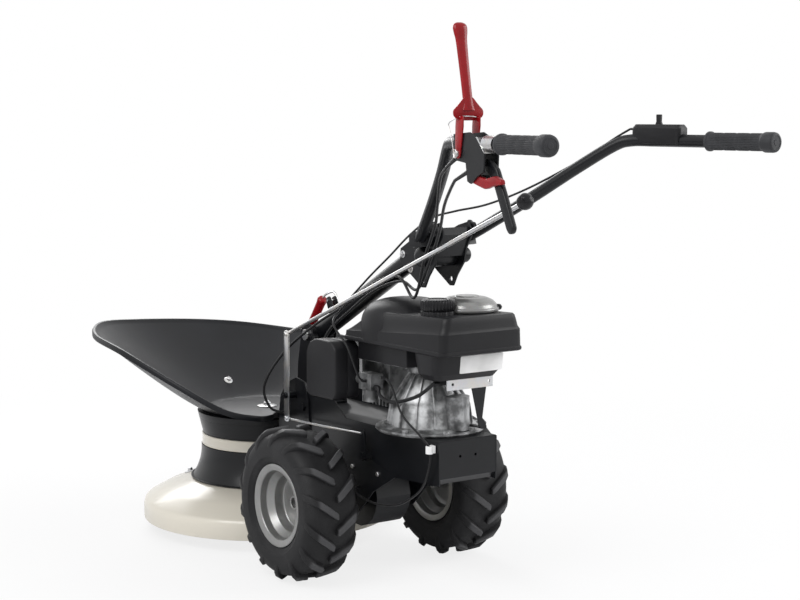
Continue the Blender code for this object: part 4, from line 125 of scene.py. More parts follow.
class MOWER_PG_sizes(bpy.types.PropertyGroup):
    """Sizes of the round parts."""

    column_tube: length("Column tube", 0.0210, "Radius of the column")
    bar_tube: length("Bar tube", 0.0120, "Radius of the handlebars")
    grip: length("Grip", 0.0155, "Radius of the grips under their flanges")
    push_rod: length("Push-rod", 0.0045, "Radius of the gear push-rod")
    ball: length("Ball knob", 0.0160, "Radius of the push-rod's ball")
    cable: length("Cable", 0.0030, "Radius of the clutch and brake cables")
    thin_cable: length("Thin cable", 0.0022, "Radius of the throttle and stop cables")
    hose: length("Fuel hose", 0.0038, "Radius of the fuel hose")
    spring_wire: length("Spring wire", 0.0009, "Radius of the stop lever's spring wire")


class MOWER_PG_stage(bpy.types.PropertyGroup):
    """Camera and light."""

    lens: FloatProperty(
        name="Lens", description="Focal length on a 36 mm sensor", default=76.5, min=10.0, max=300.0, unit="CAMERA")
    camera_place: FloatVectorProperty(
        name="Camera place", description="Where the camera stands", default=(-2.07, -3.487, 0.995),
        subtype="TRANSLATION", unit="LENGTH", size=3)
    camera_yaw: FloatProperty(
        name="Camera yaw", description="Turn of the view to the right of forward",
        default=math.radians(35.22), subtype="ANGLE")
    camera_pitch: FloatProperty(
        name="Camera pitch", description="How far the view looks down", default=math.radians(6.37), subtype="ANGLE")
    key_power: FloatProperty(
        name="Key light", description="Power of the large soft light", default=66.0, min=0.0, unit="POWER")
    fill_power: FloatProperty(
        name="Fill light", description="Power of the fill light", default=47.0, min=0.0, unit="POWER")
    ambient: FloatProperty(name="Ambient", description="Strength of the surrounding light", default=0.53, min=0.0)


# Node trees

class Value:
    """A shader socket with the arithmetic that the finishes use."""

    def __init__(self, tree, socket):
        self.tree = tree
        self.socket = socket

    def __add__(self, other):
        return self.tree.maths("ADD", self, other)

    def __sub__(self, other):
        return self.tree.maths("SUBTRACT", self, other)

    def __rsub__(self, other):
        return self.tree.maths("SUBTRACT", other, self)

    def __mul__(self, other):
        return self.tree.maths("MULTIPLY", self, other)

    def __pow__(self, other):
        return self.tree.maths("POWER", self, other)


class Tree:
    """A node tree with its links."""

    def __init__(self, tree):
        self.nodes = tree.nodes
        self.links = tree.links

    def add(self, kind, inputs=None, output=0, **settings):
        """Add a node: its settings first, then the values or links of its sockets."""
        node = self.nodes.new(kind)
        for key, value in settings.items():
            setattr(node, key, value)
        for key, value in (inputs or {}).items():
            self.feed(node.inputs[key], value)
        return Value(self, node.outputs[output])

    def feed(self, socket, value):
        """Link a Value to a socket, or set the socket's own value."""
        if isinstance(value, Value):
            self.links.new(value.socket, socket)
        elif hasattr(value, "__len__") and socket.type == "RGBA":
            socket.default_value = (*value, 1.0)
        else:
            socket.default_value = value

    def maths(self, operation, *values):
        """A maths node on two or three values."""
        return self.add("ShaderNodeMath", dict(enumerate(values)), operation=operation)

    def ray(self, kind):
        """1 for rays of that kind and 0 for the rest."""
        return self.add("ShaderNodeLightPath", output=f"Is {kind} Ray")


class Paint(Tree):
    """A material and its node tree."""

    def __init__(self, name, metallic=0.0, coat=0.0, coat_roughness=0.1, specular=0.5, sheen=0.0):
        self.material = bpy.data.materials.new(name)
        self.material.use_nodes = True
        super().__init__(self.material.node_tree)
        self.shader = self.nodes["Principled BSDF"]
        self.set(
            Metallic=metallic, Coat_Weight=coat, Coat_Roughness=coat_roughness, Specular_IOR_Level=specular,
            Sheen_Weight=sheen)

    def set(self, **sockets):
        """Feed the shader's own sockets; an underscore in a name stands for a blank."""
        for name, value in sockets.items():
            self.feed(self.shader.inputs[name.replace("_", " ")], value)
        return self.material

    def place(self):
        """Object coordinates, which are metres in the mower's own frame."""
        return self.add("ShaderNodeTexCoord", output="Object")

    def parts(self, vector):
        """The three parts of a vector."""
        split = self.nodes.new("ShaderNodeSeparateXYZ")
        self.feed(split.inputs[0], vector)
        return [Value(self, socket) for socket in split.outputs]

    def noise(self, scale, detail=3.0, roughness=0.55, stretch=None):
        """Fractal noise from 0 to 1 with about scale bumps to the metre."""
        where = self.place()
        if stretch:
            where = self.add("ShaderNodeMapping", {"Vector": where, "Scale": stretch})
        inputs = {"Vector": where, "Scale": scale, "Detail": detail, "Roughness": roughness}
        return self.add("ShaderNodeTexNoise", inputs)

    def cells(self, scale, output="Distance"):
        """Distance to the nearest of many scattered points, or the random colour of its cell."""
        return self.add("ShaderNodeTexVoronoi", {"Vector": self.place(), "Scale": scale}, output)

    def between(self, value, low, high):
        """A mask that goes smoothly from 0 at low to 1 at high."""
        inputs = {"Value": value, "From Min": low, "From Max": high}
        return self.add("ShaderNodeMapRange", inputs, interpolation_type="SMOOTHSTEP")

    def mix(self, mask, first, second):
        """The first colour where the mask is 0 and the second where it is 1."""
        return self.add("ShaderNodeMix", {0: mask, 6: first, 7: second}, 2, data_type="RGBA")

    def relief(self, height, distance, strength):
        """A bump of that height value, in metres at 1."""
        return self.add("ShaderNodeBump", {"Height": height, "Distance": distance, "Strength": strength})


def shade(base, factor, lift=0.0):
    """A colour times a factor, plus a lift, as numbers."""
    return tuple(min(1.0, channel * factor + lift) for channel in base)


# Finishes

def satin_paint(name, base, roughness=0.36, dust=0.35):
    """Black powder paint: fine orange peel, a broad change of sheen and a little dust on top faces."""
    paint = Paint(name, coat=0.14, coat_roughness=0.18, specular=0.24)
    broad = paint.noise(7.0, 4.0)
    fine = paint.noise(650.0, 2.0)
    normal = paint.add("ShaderNodeNewGeometry", output="Normal")
    upward = paint.between(paint.parts(normal)[2], 0.55, 1.0)
    mask = paint.between(broad + fine * 0.2, 0.52, 0.80) * upward * dust
    colour_value = paint.mix(paint.between(broad, 0.3, 0.7), shade(base, 0.85), shade(base, 1.2))
    colour_value = paint.mix(mask, colour_value, shade(base, 1.0, 0.02))
    return paint.set(
        Base_Color=colour_value,
        Roughness=paint.between(broad, 0.0, 1.0) * 0.16 + upward * 0.40 + (roughness - 0.08),
        Normal=paint.relief(fine, 0.00012, 0.6),
    )


def moulded_plastic(name, base, roughness=0.42, grain=900.0, depth=0.00010):
    """Moulded black plastic: leather-like grain and soft changes of sheen."""
    paint = Paint(name, specular=0.26)
    broad = paint.noise(9.0, 3.0)
    grains = paint.cells(grain)
    return paint.set(
        Base_Color=paint.mix(paint.between(broad, 0.3, 0.75), shade(base, 0.85), shade(base, 1.3)),
        Roughness=broad * 0.20 + (roughness - 0.10),
        Normal=paint.relief(grains, depth, 0.55),
    )


def cream_enamel(name, base):
    """Glossy cream enamel with faint orange peel and a thin grey film low down."""
    paint = Paint(name, coat=0.25, coat_roughness=0.14)
    broad = paint.noise(5.0, 4.0)
    height = paint.parts(paint.place())[2]
    low = 1.0 - paint.between(height, 0.02, 0.12)
    stain = paint.between(broad + low * 0.25, 0.55, 0.95) * 0.22
    colour_value = paint.mix(stain, base, shade(base, 0.72))
    return paint.set(
        Base_Color=colour_value,
        Roughness=broad * 0.14 + 0.17,
        Normal=paint.relief(paint.noise(240.0, 2.0), 0.00020, 0.35),
    )


def plated_steel(name, base, roughness=0.33):
    """Bright zinc plate: small spangles, cloudy passivation and fine draw marks."""
    paint = Paint(name, metallic=1.0)
    cloud = paint.noise(38.0, 4.0)
    spangle = paint.cells(420.0, "Color")
    warm = paint.mix(paint.between(cloud, 0.35, 0.75), base, (base[0] * 1.05, base[1] * 0.99, base[2] * 0.90))
    return paint.set(
        Base_Color=paint.mix(0.03, warm, spangle),
        Roughness=cloud * 0.22 + (roughness - 0.11),
        Normal=paint.relief(paint.noise(900.0, 2.0, stretch=(1.0, 0.25, 1.0)), 0.00005, 0.5),
    )


def cast_metal(name, base, roughness=0.40):
    """Die-cast alloy: sandy skin, broad patches painted down to a shaded copy of the colour as painted shade of the
    engine under the cowl, and a few pores.
    """
    paint = Paint(name, metallic=0.85)
    skin = paint.noise(700.0, 4.0)
    cloud = paint.noise(26.0, 4.0)
    pores = 1.0 - paint.between(paint.cells(320.0), 0.05, 0.22)
    # Painted shade: the cloud mix runs from a shaded copy of the alloy at 0.30 to a lit copy at 1.25; only the pores
    # below are the casting's own colour.
    colour_value = paint.mix(paint.between(cloud, 0.38, 0.66), shade(base, 0.30), shade(base, 1.25))
    return paint.set(
        Base_Color=paint.mix(pores * 0.35, colour_value, shade(base, 0.4)),
        Roughness=cloud * 0.22 + (roughness - 0.08),
        Normal=paint.relief(skin - pores * 0.5, 0.00022, 0.7),
    )


def metallic_paint(name, base):
    """Silver wheel paint: metal flake under a satin coat with dust in the well."""
    paint = Paint(name, metallic=0.7, coat=0.25, coat_roughness=0.2)
    cloud = paint.noise(16.0, 4.0)
    flake = paint.cells(1600.0, "Color")
    colour_value = paint.mix(paint.between(cloud, 0.35, 0.8), base, shade(base, 0.80))
    return paint.set(
        Base_Color=paint.mix(0.06, colour_value, flake),
        Roughness=cloud * 0.20 + 0.24,
        Normal=paint.relief(paint.noise(300.0, 2.0), 0.00012, 0.4),
    )


def tyre_compound(name, base):
    """Tyre rubber: scuffed patches, and lugs painted pale from 158 mm off the axle outwards as a painted highlight on
    their tops.
    """
    paint = Paint(name, specular=0.22)
    cloud = paint.noise(18.0, 5.0)
    fine = paint.noise(420.0, 4.0)
    scuff = paint.between(cloud + fine * 0.35, 0.62, 0.95)
    y, z = paint.parts(paint.place())[1:]
    reach = ((y - AXLE_Y / MM) ** 2.0 + (z - AXLE_Z / MM) ** 2.0) ** 0.5
    # Painted highlight: the lug tops beyond 158 mm from the axle are lightened to 3.2 times the rubber's colour.
    lug_top_highlight = paint.between(reach + cloud * 0.003, 0.1580, 0.1640)
    colour_value = paint.mix(scuff * 0.7, base, shade(base, 1.6, 0.012))
    colour_value = paint.mix(lug_top_highlight, colour_value, shade(base, 3.2, 0.030))
    return paint.set(
        Base_Color=colour_value,
        Roughness=cloud * 0.26 + 0.42,
        Normal=paint.relief(fine + paint.cells(260.0) * 0.4, 0.00030, 0.6),
    )


def soft_rubber(name, base, roughness=0.58):
    """Grip and hose rubber with a dry, slightly bloomed skin."""
    paint = Paint(name, specular=0.25, sheen=0.08)
    cloud = paint.noise(40.0, 4.0)
    return paint.set(
        Base_Color=paint.mix(paint.between(cloud, 0.35, 0.8), base, shade(base, 1.5)),
        Roughness=cloud * 0.2 + (roughness - 0.1),
        Normal=paint.relief(paint.noise(1500.0, 3.0), 0.00008, 0.6),
    )


def gloss_red(name, base, roughness=0.20):
    """Glossy red: deep colour with faint moulding ripples."""
    paint = Paint(name, coat=0.15, coat_roughness=0.06, specular=0.22)
    ripple = paint.noise(60.0, 3.0)
    return paint.set(
        Base_Color=paint.mix(paint.between(ripple, 0.3, 0.8), base, shade(base, 0.78)),
        Roughness=ripple * 0.14 + (roughness - 0.05),
        Normal=paint.relief(ripple, 0.00020, 0.4),
    )


def machined_steel(name, base, roughness=0.36):
    """Bare steel with turning marks and a light brown film."""
    paint = Paint(name, metallic=1.0)
    cloud = paint.noise(30.0, 5.0)
    film = paint.between(cloud, 0.5, 0.85)
    return paint.set(
        Base_Color=paint.mix(film * 0.5, base, (base[0] * 0.72, base[1] * 0.58, base[2] * 0.46)),
        Roughness=cloud * 0.3 + (roughness - 0.1),
        Normal=paint.relief(paint.noise(1100.0, 2.0, stretch=(1.0, 1.0, 6.0)), 0.00005, 0.6),
    )


FINISHES = {}


def finishes():
    """Make each finish once from the colour settings."""
    if not FINISHES:
        tint = bpy.context.scene.mower_colours
        FINISHES.update(
            black_paint=satin_paint("satin_black", tint.black),
            dish_plastic=moulded_plastic("dish_plastic", tint.dish, 0.40, 700.0, 0.00006),
            dark_plastic=moulded_plastic("cowl_plastic", tint.cowl, 0.44),
            gloss_plastic=moulded_plastic("gloss_black_plastic", tint.cowl, 0.24, 500.0, 0.00003),
            cream_paint=cream_enamel("cream_enamel", tint.cream),
            zinc=plated_steel("zinc_plate", tint.zinc),
            cast_aluminium=cast_metal("cast_alloy", tint.alloy),
            rim_silver=metallic_paint("rim_silver_paint", tint.silver),
            tyre_rubber=tyre_compound("tyre_compound", tint.tyre),
            rubber=soft_rubber("grip_rubber", tint.grip),
            red_paint=gloss_red("red_enamel", tint.red, 0.20),
            red_plastic=gloss_red("red_plastic", tint.red, 0.26),
            steel=machined_steel("bare_steel", tint.steel),
            cable_black=soft_rubber("cable_sleeve", tint.cable, 0.40),
            bare_plate=moulded_plastic("bare_label_plate", tint.plate, 0.50, 600.0, 0.00002),
        )
    return FINISHES


# Surfaces

def around(steps):
    """Equal angles round a circle."""
    return np.arange(steps) * (2.0 * np.pi / steps)


def turned(profile, steps):
    """Surface of revolution: profile point (r, z) carried to equal angles round +Z, x = r cos a, y = r sin a."""
    profile = np.asarray(profile, float)
    angle = around(steps)
    radius = profile[:, :1]
    height = np.repeat(profile[:, 1:2], steps, axis=1)
    return np.stack([radius * np.cos(angle), radius * np.sin(angle), height], axis=-1)


def unit(vector):
    """Vectors divided by their length."""
    vector = np.asarray(vector, float)
    return vector / np.linalg.norm(vector, axis=-1, keepdims=True)


def basis(axis, up=(0.0, 0.0, 1.0)):
    """Rows side, other and axis of a right-handed frame whose third row lies along the axis."""
    axis = unit(axis)
    if abs(axis @ unit(up)) > 0.98:
        up = (0.0, 1.0, 0.0)
    side = unit(np.cross(up, axis))
    return np.array([side, np.cross(axis, side), axis])


def placed(grid, origin, axis=(0.0, 0.0, 1.0), up=(0.0, 0.0, 1.0)):
    """A grid made round +Z, turned so that +Z lies along the axis and moved to the origin point."""
    return np.asarray(grid) @ basis(axis, up) + np.asarray(origin, float)


def rounded(points, radius, steps=4, closed=False):
    """A line whose corners are replaced by quadratic curves that start and end one radius from the corner."""
    points = np.asarray(points, float)
    before = np.roll(points, 1, axis=0)
    after = np.roll(points, -1, axis=0)
    to_before = before - points
    to_after = after - points
    length_before = np.linalg.norm(to_before, axis=1, keepdims=True)
    length_after = np.linalg.norm(to_after, axis=1, keepdims=True)
    reach = np.minimum(radius, 0.45 * np.minimum(length_before, length_after))
    first = points + to_before / np.maximum(length_before, 1e-9) * reach
    last = points + to_after / np.maximum(length_after, 1e-9) * reach
    t = np.linspace(0.0, 1.0, steps + 1)[None, :, None]
    curve = first[:, None] * (1 - t) ** 2 + 2 * points[:, None] * t * (1 - t) + last[:, None] * t ** 2
    if closed:
        return curve.reshape(-1, points.shape[1])
    return np.concatenate([points[:1], curve[1:-1].reshape(-1, points.shape[1]), points[-1:]])


def curve_through(points, samples, closed=False):
    """Catmull-Rom curve through the points, with samples steps in each span."""
    points = np.asarray(points, float)
    if closed:
        padded = np.concatenate([points[-1:], points, points[:2]])
    else:
        padded = np.concatenate([2 * points[:1] - points[1:2], points, 2 * points[-1:] - points[-2:-1]])
    p0, p1, p2, p3 = (padded[i:len(padded) - 3 + i, None] for i in range(4))
    t = (np.arange(samples) / samples)[None, :, None]
    square, cube = 2 * p0 - 5 * p1 + 4 * p2 - p3, 3 * p1 - p0 - 3 * p2 + p3
    spans = 0.5 * (2 * p1 + (p2 - p0) * t + square * t ** 2 + cube * t ** 3)
    line = spans.reshape(-1, points.shape[1])
    return line if closed else np.concatenate([line, points[-1:]])


def swept(path, radius, steps):
    """A circle carried along a path without twist: each frame is the last one turned by the least angle."""
    path = np.asarray(path, float)
    tangent = unit(np.gradient(path, axis=0))
    frames = [basis(tangent[0])[:2]]
    for direction in tangent[1:]:
        side = unit(frames[-1][0] - direction * (frames[-1][0] @ direction))
        frames.append(np.array([side, np.cross(direction, side)]))
    circle = np.stack([np.cos(around(steps)), np.sin(around(steps))], axis=-1)
    size = np.broadcast_to(np.asarray(radius, float), (len(path),))
    return path[:, None] + size[:, None, None] * np.einsum("sk,pkx->psx", circle, np.array(frames))


def slab(outline, low, high, bevel, steps=2):
    """An outline in X and Y made a plate from low to high, its rims rolled in by the bevel."""
    outline = np.asarray(outline, float)
    ahead = unit(np.roll(outline, -1, axis=0) - outline)
    behind = unit(outline - np.roll(outline, 1, axis=0))
    along = unit(ahead + behind)
    inward = np.stack([-along[:, 1], along[:, 0]], axis=-1)
    area = np.sum(outline[:, 0] * np.roll(outline[:, 1], -1) - np.roll(outline[:, 0], -1) * outline[:, 1])
    inward *= np.sign(area)
    angle = np.linspace(0.0, np.pi / 2.0, steps + 1)
    inset = bevel * (1.0 - np.sin(angle))
    drop = bevel * (1.0 - np.cos(angle))
    rows = [*zip(inset, low + drop), *zip(inset[::-1], high - drop[::-1])]
    return np.array([np.column_stack([outline + inward * i, np.full(len(outline), z)]) for i, z in rows])


class Shell:
    """Grids of points gathered into one mesh."""

    def __init__(self):
        self.points = []
        self.faces = []
        self.count = 0

    def grid(self, points, rows="capped"):
        """Add a grid in millimetres whose columns run round.

        Its end rows are capped flat, left open where they come to a point, or joined when the rows run round too.
        """
        points = np.asarray(points, float)
        depth, columns = points.shape[:2]
        i, j = np.meshgrid(np.arange(depth if rows == "round" else depth - 1), np.arange(columns), indexing="ij")
        below = (i + 1) % depth
        beside = (j + 1) % columns
        corners = [(i, j), (i, beside), (below, beside), (below, j)]
        quads = np.stack([row * columns + column for row, column in corners], axis=-1)
        self.faces += (quads.reshape(-1, 4) + self.count).tolist()
        if rows == "capped":
            self.faces.append((np.arange(columns)[::-1] + self.count).tolist())
            self.faces.append((np.arange(columns) + (depth - 1) * columns + self.count).tolist())
        self.points.append(points.reshape(-1, 3) / MM)
        self.count += depth * columns
        return self

    def build(self, name, finish, body, nodes=(), slot=None, sharp=40.0):
        """Make the object from what was gathered."""
        mesh = bpy.data.meshes.new(name)
        mesh.from_pydata(np.concatenate(self.points).tolist(), [], self.faces)
        return dress(mesh, name, finish, body, nodes, sharp)


def dress(mesh, name, finish, body, nodes, sharp, bevel=0.0):
    """Merge doubles, turn faces outward and make the mesh a piece that rides on its body and stands for its nodes."""
    work = bmesh.new()
    work.from_mesh(mesh)
    bmesh.ops.remove_doubles(work, verts=work.verts, dist=0.00002)
    bmesh.ops.dissolve_degenerate(work, dist=0.00001, edges=work.edges)
    bmesh.ops.recalc_face_normals(work, faces=work.faces)
    work.to_mesh(mesh)
    work.free()
    mesh.shade_smooth()
    mesh.set_sharp_from_angle(angle=math.radians(sharp))
    mesh.materials.clear()
    mesh.materials.append(finishes()[finish])
    piece = bpy.data.objects.new(name, mesh)
    bpy.context.scene.collection.objects.link(piece)
    if bevel:
        edge = piece.modifiers.new("rounded_edges", "BEVEL")
        edge.width = bevel / MM
        edge.segments = 2
        edge.limit_method = "ANGLE"
        edge.angle_limit = math.radians(32.0)
        edge.harden_normals = True
    if body:
        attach(piece, body)
    if nodes:
        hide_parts(*nodes)
    return piece


SLOT_OF = {entry["node"]: entry["material_slot"] for entry in frame["record"]["subparts"]}
BODY_OF = {node: body for body, nodes in frame["record"]["behaviour"]["bodies"].items() for node in nodes}


def softened(node, bevel, finish=None):
    """A copy of a node's mesh with its edges rounded, which stands for the node."""
    mesh = frame["nodes"][node].data.copy()
    mesh.name = node + "_edges"
    work = bmesh.new()
    work.from_mesh(mesh)
    bmesh.ops.remove_doubles(work, verts=work.verts, dist=0.00002)
    level = math.radians(0.6)
    flat = [edge for edge in work.edges if len(edge.link_faces) == 2 and edge.calc_face_angle(0.0) < level]
    bmesh.ops.dissolve_edges(work, edges=flat, use_verts=True, use_face_split=False)
    work.to_mesh(mesh)
    work.free()
    return dress(mesh, node + "_shell", finish or SLOT_OF[node], BODY_OF[node], (node,), 35.0, bevel)


class MOWER_OT_node_finishes(bpy.types.Operator):
    """Give every solid its finish"""

    bl_idname = "mower.node_finishes"
    bl_label = "Node Finishes"

    def execute(self, context):
        special = {"guard_dish": "dish_plastic", "starter_cover": "gloss_plastic"}
        for name, node in frame["nodes"].items():
            node.data.materials.clear()
            node.data.materials.append(finishes()[special.get(name, SLOT_OF[name])])
        return {"FINISHED"}


class MOWER_OT_stage(bpy.types.Operator):
    """Make the floor, the light and the camera"""

    bl_idname = "mower.stage"
    bl_label = "Stage"

    def execute(self, context):
        stage = context.scene.mower_stage
        self.floor()
        self.world(stage.ambient)
        self.lamp("key", (-2.6, -1.2, 3.0), (0.0, -0.4, 0.3), 2.2, stage.key_power)
        self.lamp("fill", (2.4, -2.2, 1.8), (0.0, -0.5, 0.4), 2.0, stage.fill_power)
        self.lamp("rim", (0.8, 2.6, 2.2), (0.0, -0.3, 0.4), 1.8, stage.fill_power)
        self.camera(context.scene, stage)
        return {"FINISHED"}

    def floor(self):
        """A wide pale floor that looks white to the camera and still holds the shadow."""
        mesh = bpy.data.meshes.new("floor")
        reach = 30.0
        corners = [(-reach, -reach, 0.0), (reach, -reach, 0.0), (reach, reach, 0.0), (-reach, reach, 0.0)]
        mesh.from_pydata(corners, [], [(0, 1, 2, 3)])
        floor = bpy.data.objects.new("floor", mesh)
        bpy.context.scene.collection.objects.link(floor)
        paint = Paint("pale_floor")
        paint.set(Base_Color=(0.86, 0.86, 0.87), Roughness=0.9)
        white = paint.add("ShaderNodeEmission", {"Strength": 1.0})
        place = paint.add("ShaderNodeNewGeometry")
        inputs = {0: place, 1: (0.0, -0.5, 0.0)}
        away = paint.add("ShaderNodeVectorMath", inputs, "Value", operation="DISTANCE")
        share = paint.ray("Camera") * (paint.between(away, 1.0, 2.6) * 0.20 + 0.80)
        grey = Value(paint, paint.shader.outputs[0])
        mixed = paint.add("ShaderNodeMixShader", {0: share, 1: grey, 2: white})
        paint.feed(paint.nodes["Material Output"].inputs[0], mixed)
        mesh.materials.append(paint.material)

    def world(self, ambient):
        """White to the camera and through glass, brighter in gloss, and a soft ambient light to the rest."""
        world = bpy.data.worlds.new("studio")
        bpy.context.scene.world = world
        world.use_nodes = True
        tree = Tree(world.node_tree)
        seen = tree.maths("MAXIMUM", tree.ray("Camera"), tree.ray("Transmission"))
        more_in_gloss = 0.42
        gloss = tree.maths("MULTIPLY_ADD", tree.ray("Glossy"), more_in_gloss, ambient)
        background = tree.nodes["Background"]
        tree.feed(background.inputs["Color"], (1.0, 1.0, 1.0))
        tree.feed(background.inputs["Strength"], tree.maths("MAXIMUM", seen, gloss))

    def lamp(self, name, place, target, size, power):
        """A square soft light that points at the target."""
        light = bpy.data.lights.new(name, "AREA")
        light.shape = "SQUARE"
        light.size = size
        light.energy = power
        lamp = bpy.data.objects.new(name, light)
        lamp.location = place
        lamp.rotation_euler = (Vector(target) - Vector(place)).to_track_quat("-Z", "Y").to_euler()
        bpy.context.scene.collection.objects.link(lamp)

    def camera(self, scene, stage):
        """The photograph's camera."""
        data = bpy.data.cameras.new("camera")
        data.sensor_width = 36.0
        data.lens = stage.lens
        data.clip_start = 0.05
        data.clip_end = 100.0
        camera = bpy.data.objects.new("camera", data)
        yaw = stage.camera_yaw
        pitch = stage.camera_pitch
        level = math.cos(pitch)
        direction = Vector((math.sin(yaw) * level, math.cos(yaw) * level, -math.sin(pitch)))
        camera.location = stage.camera_place
        camera.rotation_mode = "QUATERNION"
        camera.rotation_quaternion = direction.to_track_quat("-Z", "Y")
        scene.collection.objects.link(camera)
        scene.camera = camera
        scene.view_settings.view_transform = "Standard"


# Drum, neck and guard

def ring_of(profile, steps, radius):
    """A closed section, its corners rounded, turned once round +Z."""
    return turned(rounded(profile, radius, 3, closed=True), steps)


def disc_of(radius, low, high, bevel, steps):
    """A flat disc from low to high with its edges rounded."""
    return turned(rounded([(0, low), (radius, low), (radius, high), (0, high)], bevel, 2), steps)


def bolt_head(radius, low, shoulder, crown, top, bevel, steps=6):
    """A bolt's head: a wall up to the shoulder, then a chamfer to the crown's radius at the top."""
    return turned(rounded([(0, low), (radius, low), (radius, shoulder), (crown, top), (0, top)], bevel, 2), steps)


class MOWER_OT_drum(bpy.types.Operator):
    """Turn the cutting disc, its skirt, its bolted tabs and the posts of the blades"""

    bl_idname = "mower.drum"
    bl_label = "Cutting Drum"

    def execute(self, context):
        self.disc()
        self.tabs()
        self.skirt()
        return {"FINISHED"}

    def disc(self):
        """Inverted pan: the section steps down from the flat top over a rounded shoulder to a straight rim."""
        section = [
            (297, 30), (297, 62), (293.5, 73.5), (279, 82), (242, 101.5), (176, 123.5), (12.8, 123.5),
            (12.8, 120.5), (175, 120.5), (241, 98.5), (277, 79), (290.5, 71.5), (294, 62), (294, 30),
        ]
        shell = Shell().grid(ring_of(section, 128, 9), "round")
        post = [(0, 15), (9, 15), (11, 17), (11, 20.2), (6, 20.2), (6, 26.8), (14, 26.8), (14, 86), (0, 86)]
        for angle in np.radians((30.0, 150.0, 270.0)):
            place = np.array([DRUM_POSTS * np.cos(angle), DRUM_POSTS * np.sin(angle), 0.0])
            pillar = turned(rounded(post, 0.8, 2), 24) + place
            slope = 80.5 + 0.5417 * (278 - np.hypot(pillar[:, :, 0], pillar[:, :, 1]))
            pillar[:, :, 2] = np.where(pillar[:, :, 2] > 80, slope, pillar[:, :, 2])
            shell.grid(pillar, "open")
        shell.build("drum_disc", "cream_paint", "drum", ("cutting_disc",), sharp=28.0)

    def tabs(self):
        """Three bent tabs on the disc's slope, each with a washer and a hexagon bolt."""
        slope = 22 / 66
        rows = np.array([unit((1.0, 0.0, -slope)), (0.0, 1.0, 0.0), unit((slope, 0.0, 1.0))])
        seat = np.array([199, 0, 123.5 - slope * 23])
        outline = rounded([(-11, -8), (14, -8), (14, 8), (-11, 8)], 5, 4, closed=True)
        shell = Shell()
        bolts = Shell()
        for angle in np.radians((250.0, 10.0, 130.0)):
            turn = np.array([(np.cos(angle), np.sin(angle), 0), (-np.sin(angle), np.cos(angle), 0), (0, 0, 1)])
            shell.grid((slab(outline, -0.5, 3, 0.7) @ rows + seat) @ turn)
            for grid in (disc_of(8.2, 3, 4.3, 0.3, 24), bolt_head(6.4, 4.3, 8.8, 5.2, 9.6, 0.5)):
                bolts.grid((grid @ rows + seat) @ turn, "open")
        shell.build("disc_tabs", "zinc", "drum")
        bolts.build("disc_tab_bolts", "zinc", "drum", sharp=25.0)

    def skirt(self):
        """Flared cone with a rolled foot; the wall follows a smooth curve between the two radii."""
        t = np.linspace(0.0, 1.0, 14)
        wall = np.stack([158 + 23 * (1.0 - t) ** 2.4, 123.8 + 78 * t], axis=-1)
        section = np.concatenate([wall, [(12.8, 201.8), (12.8, 198.8)], (wall[::-1] - np.array([3, 0]))[1:]])
        shell = Shell().grid(turned(section, 112), "round")
        foot = [(179.5, 123.8), (183.5, 123.8), (184.5, 125.6), (182.5, 127), (179.5, 127)]
        shell.grid(ring_of(foot, 112, 1), "round")
        shell.build("skirt_cone", "black_paint", "drum", ("drum_skirt",), sharp=30.0)


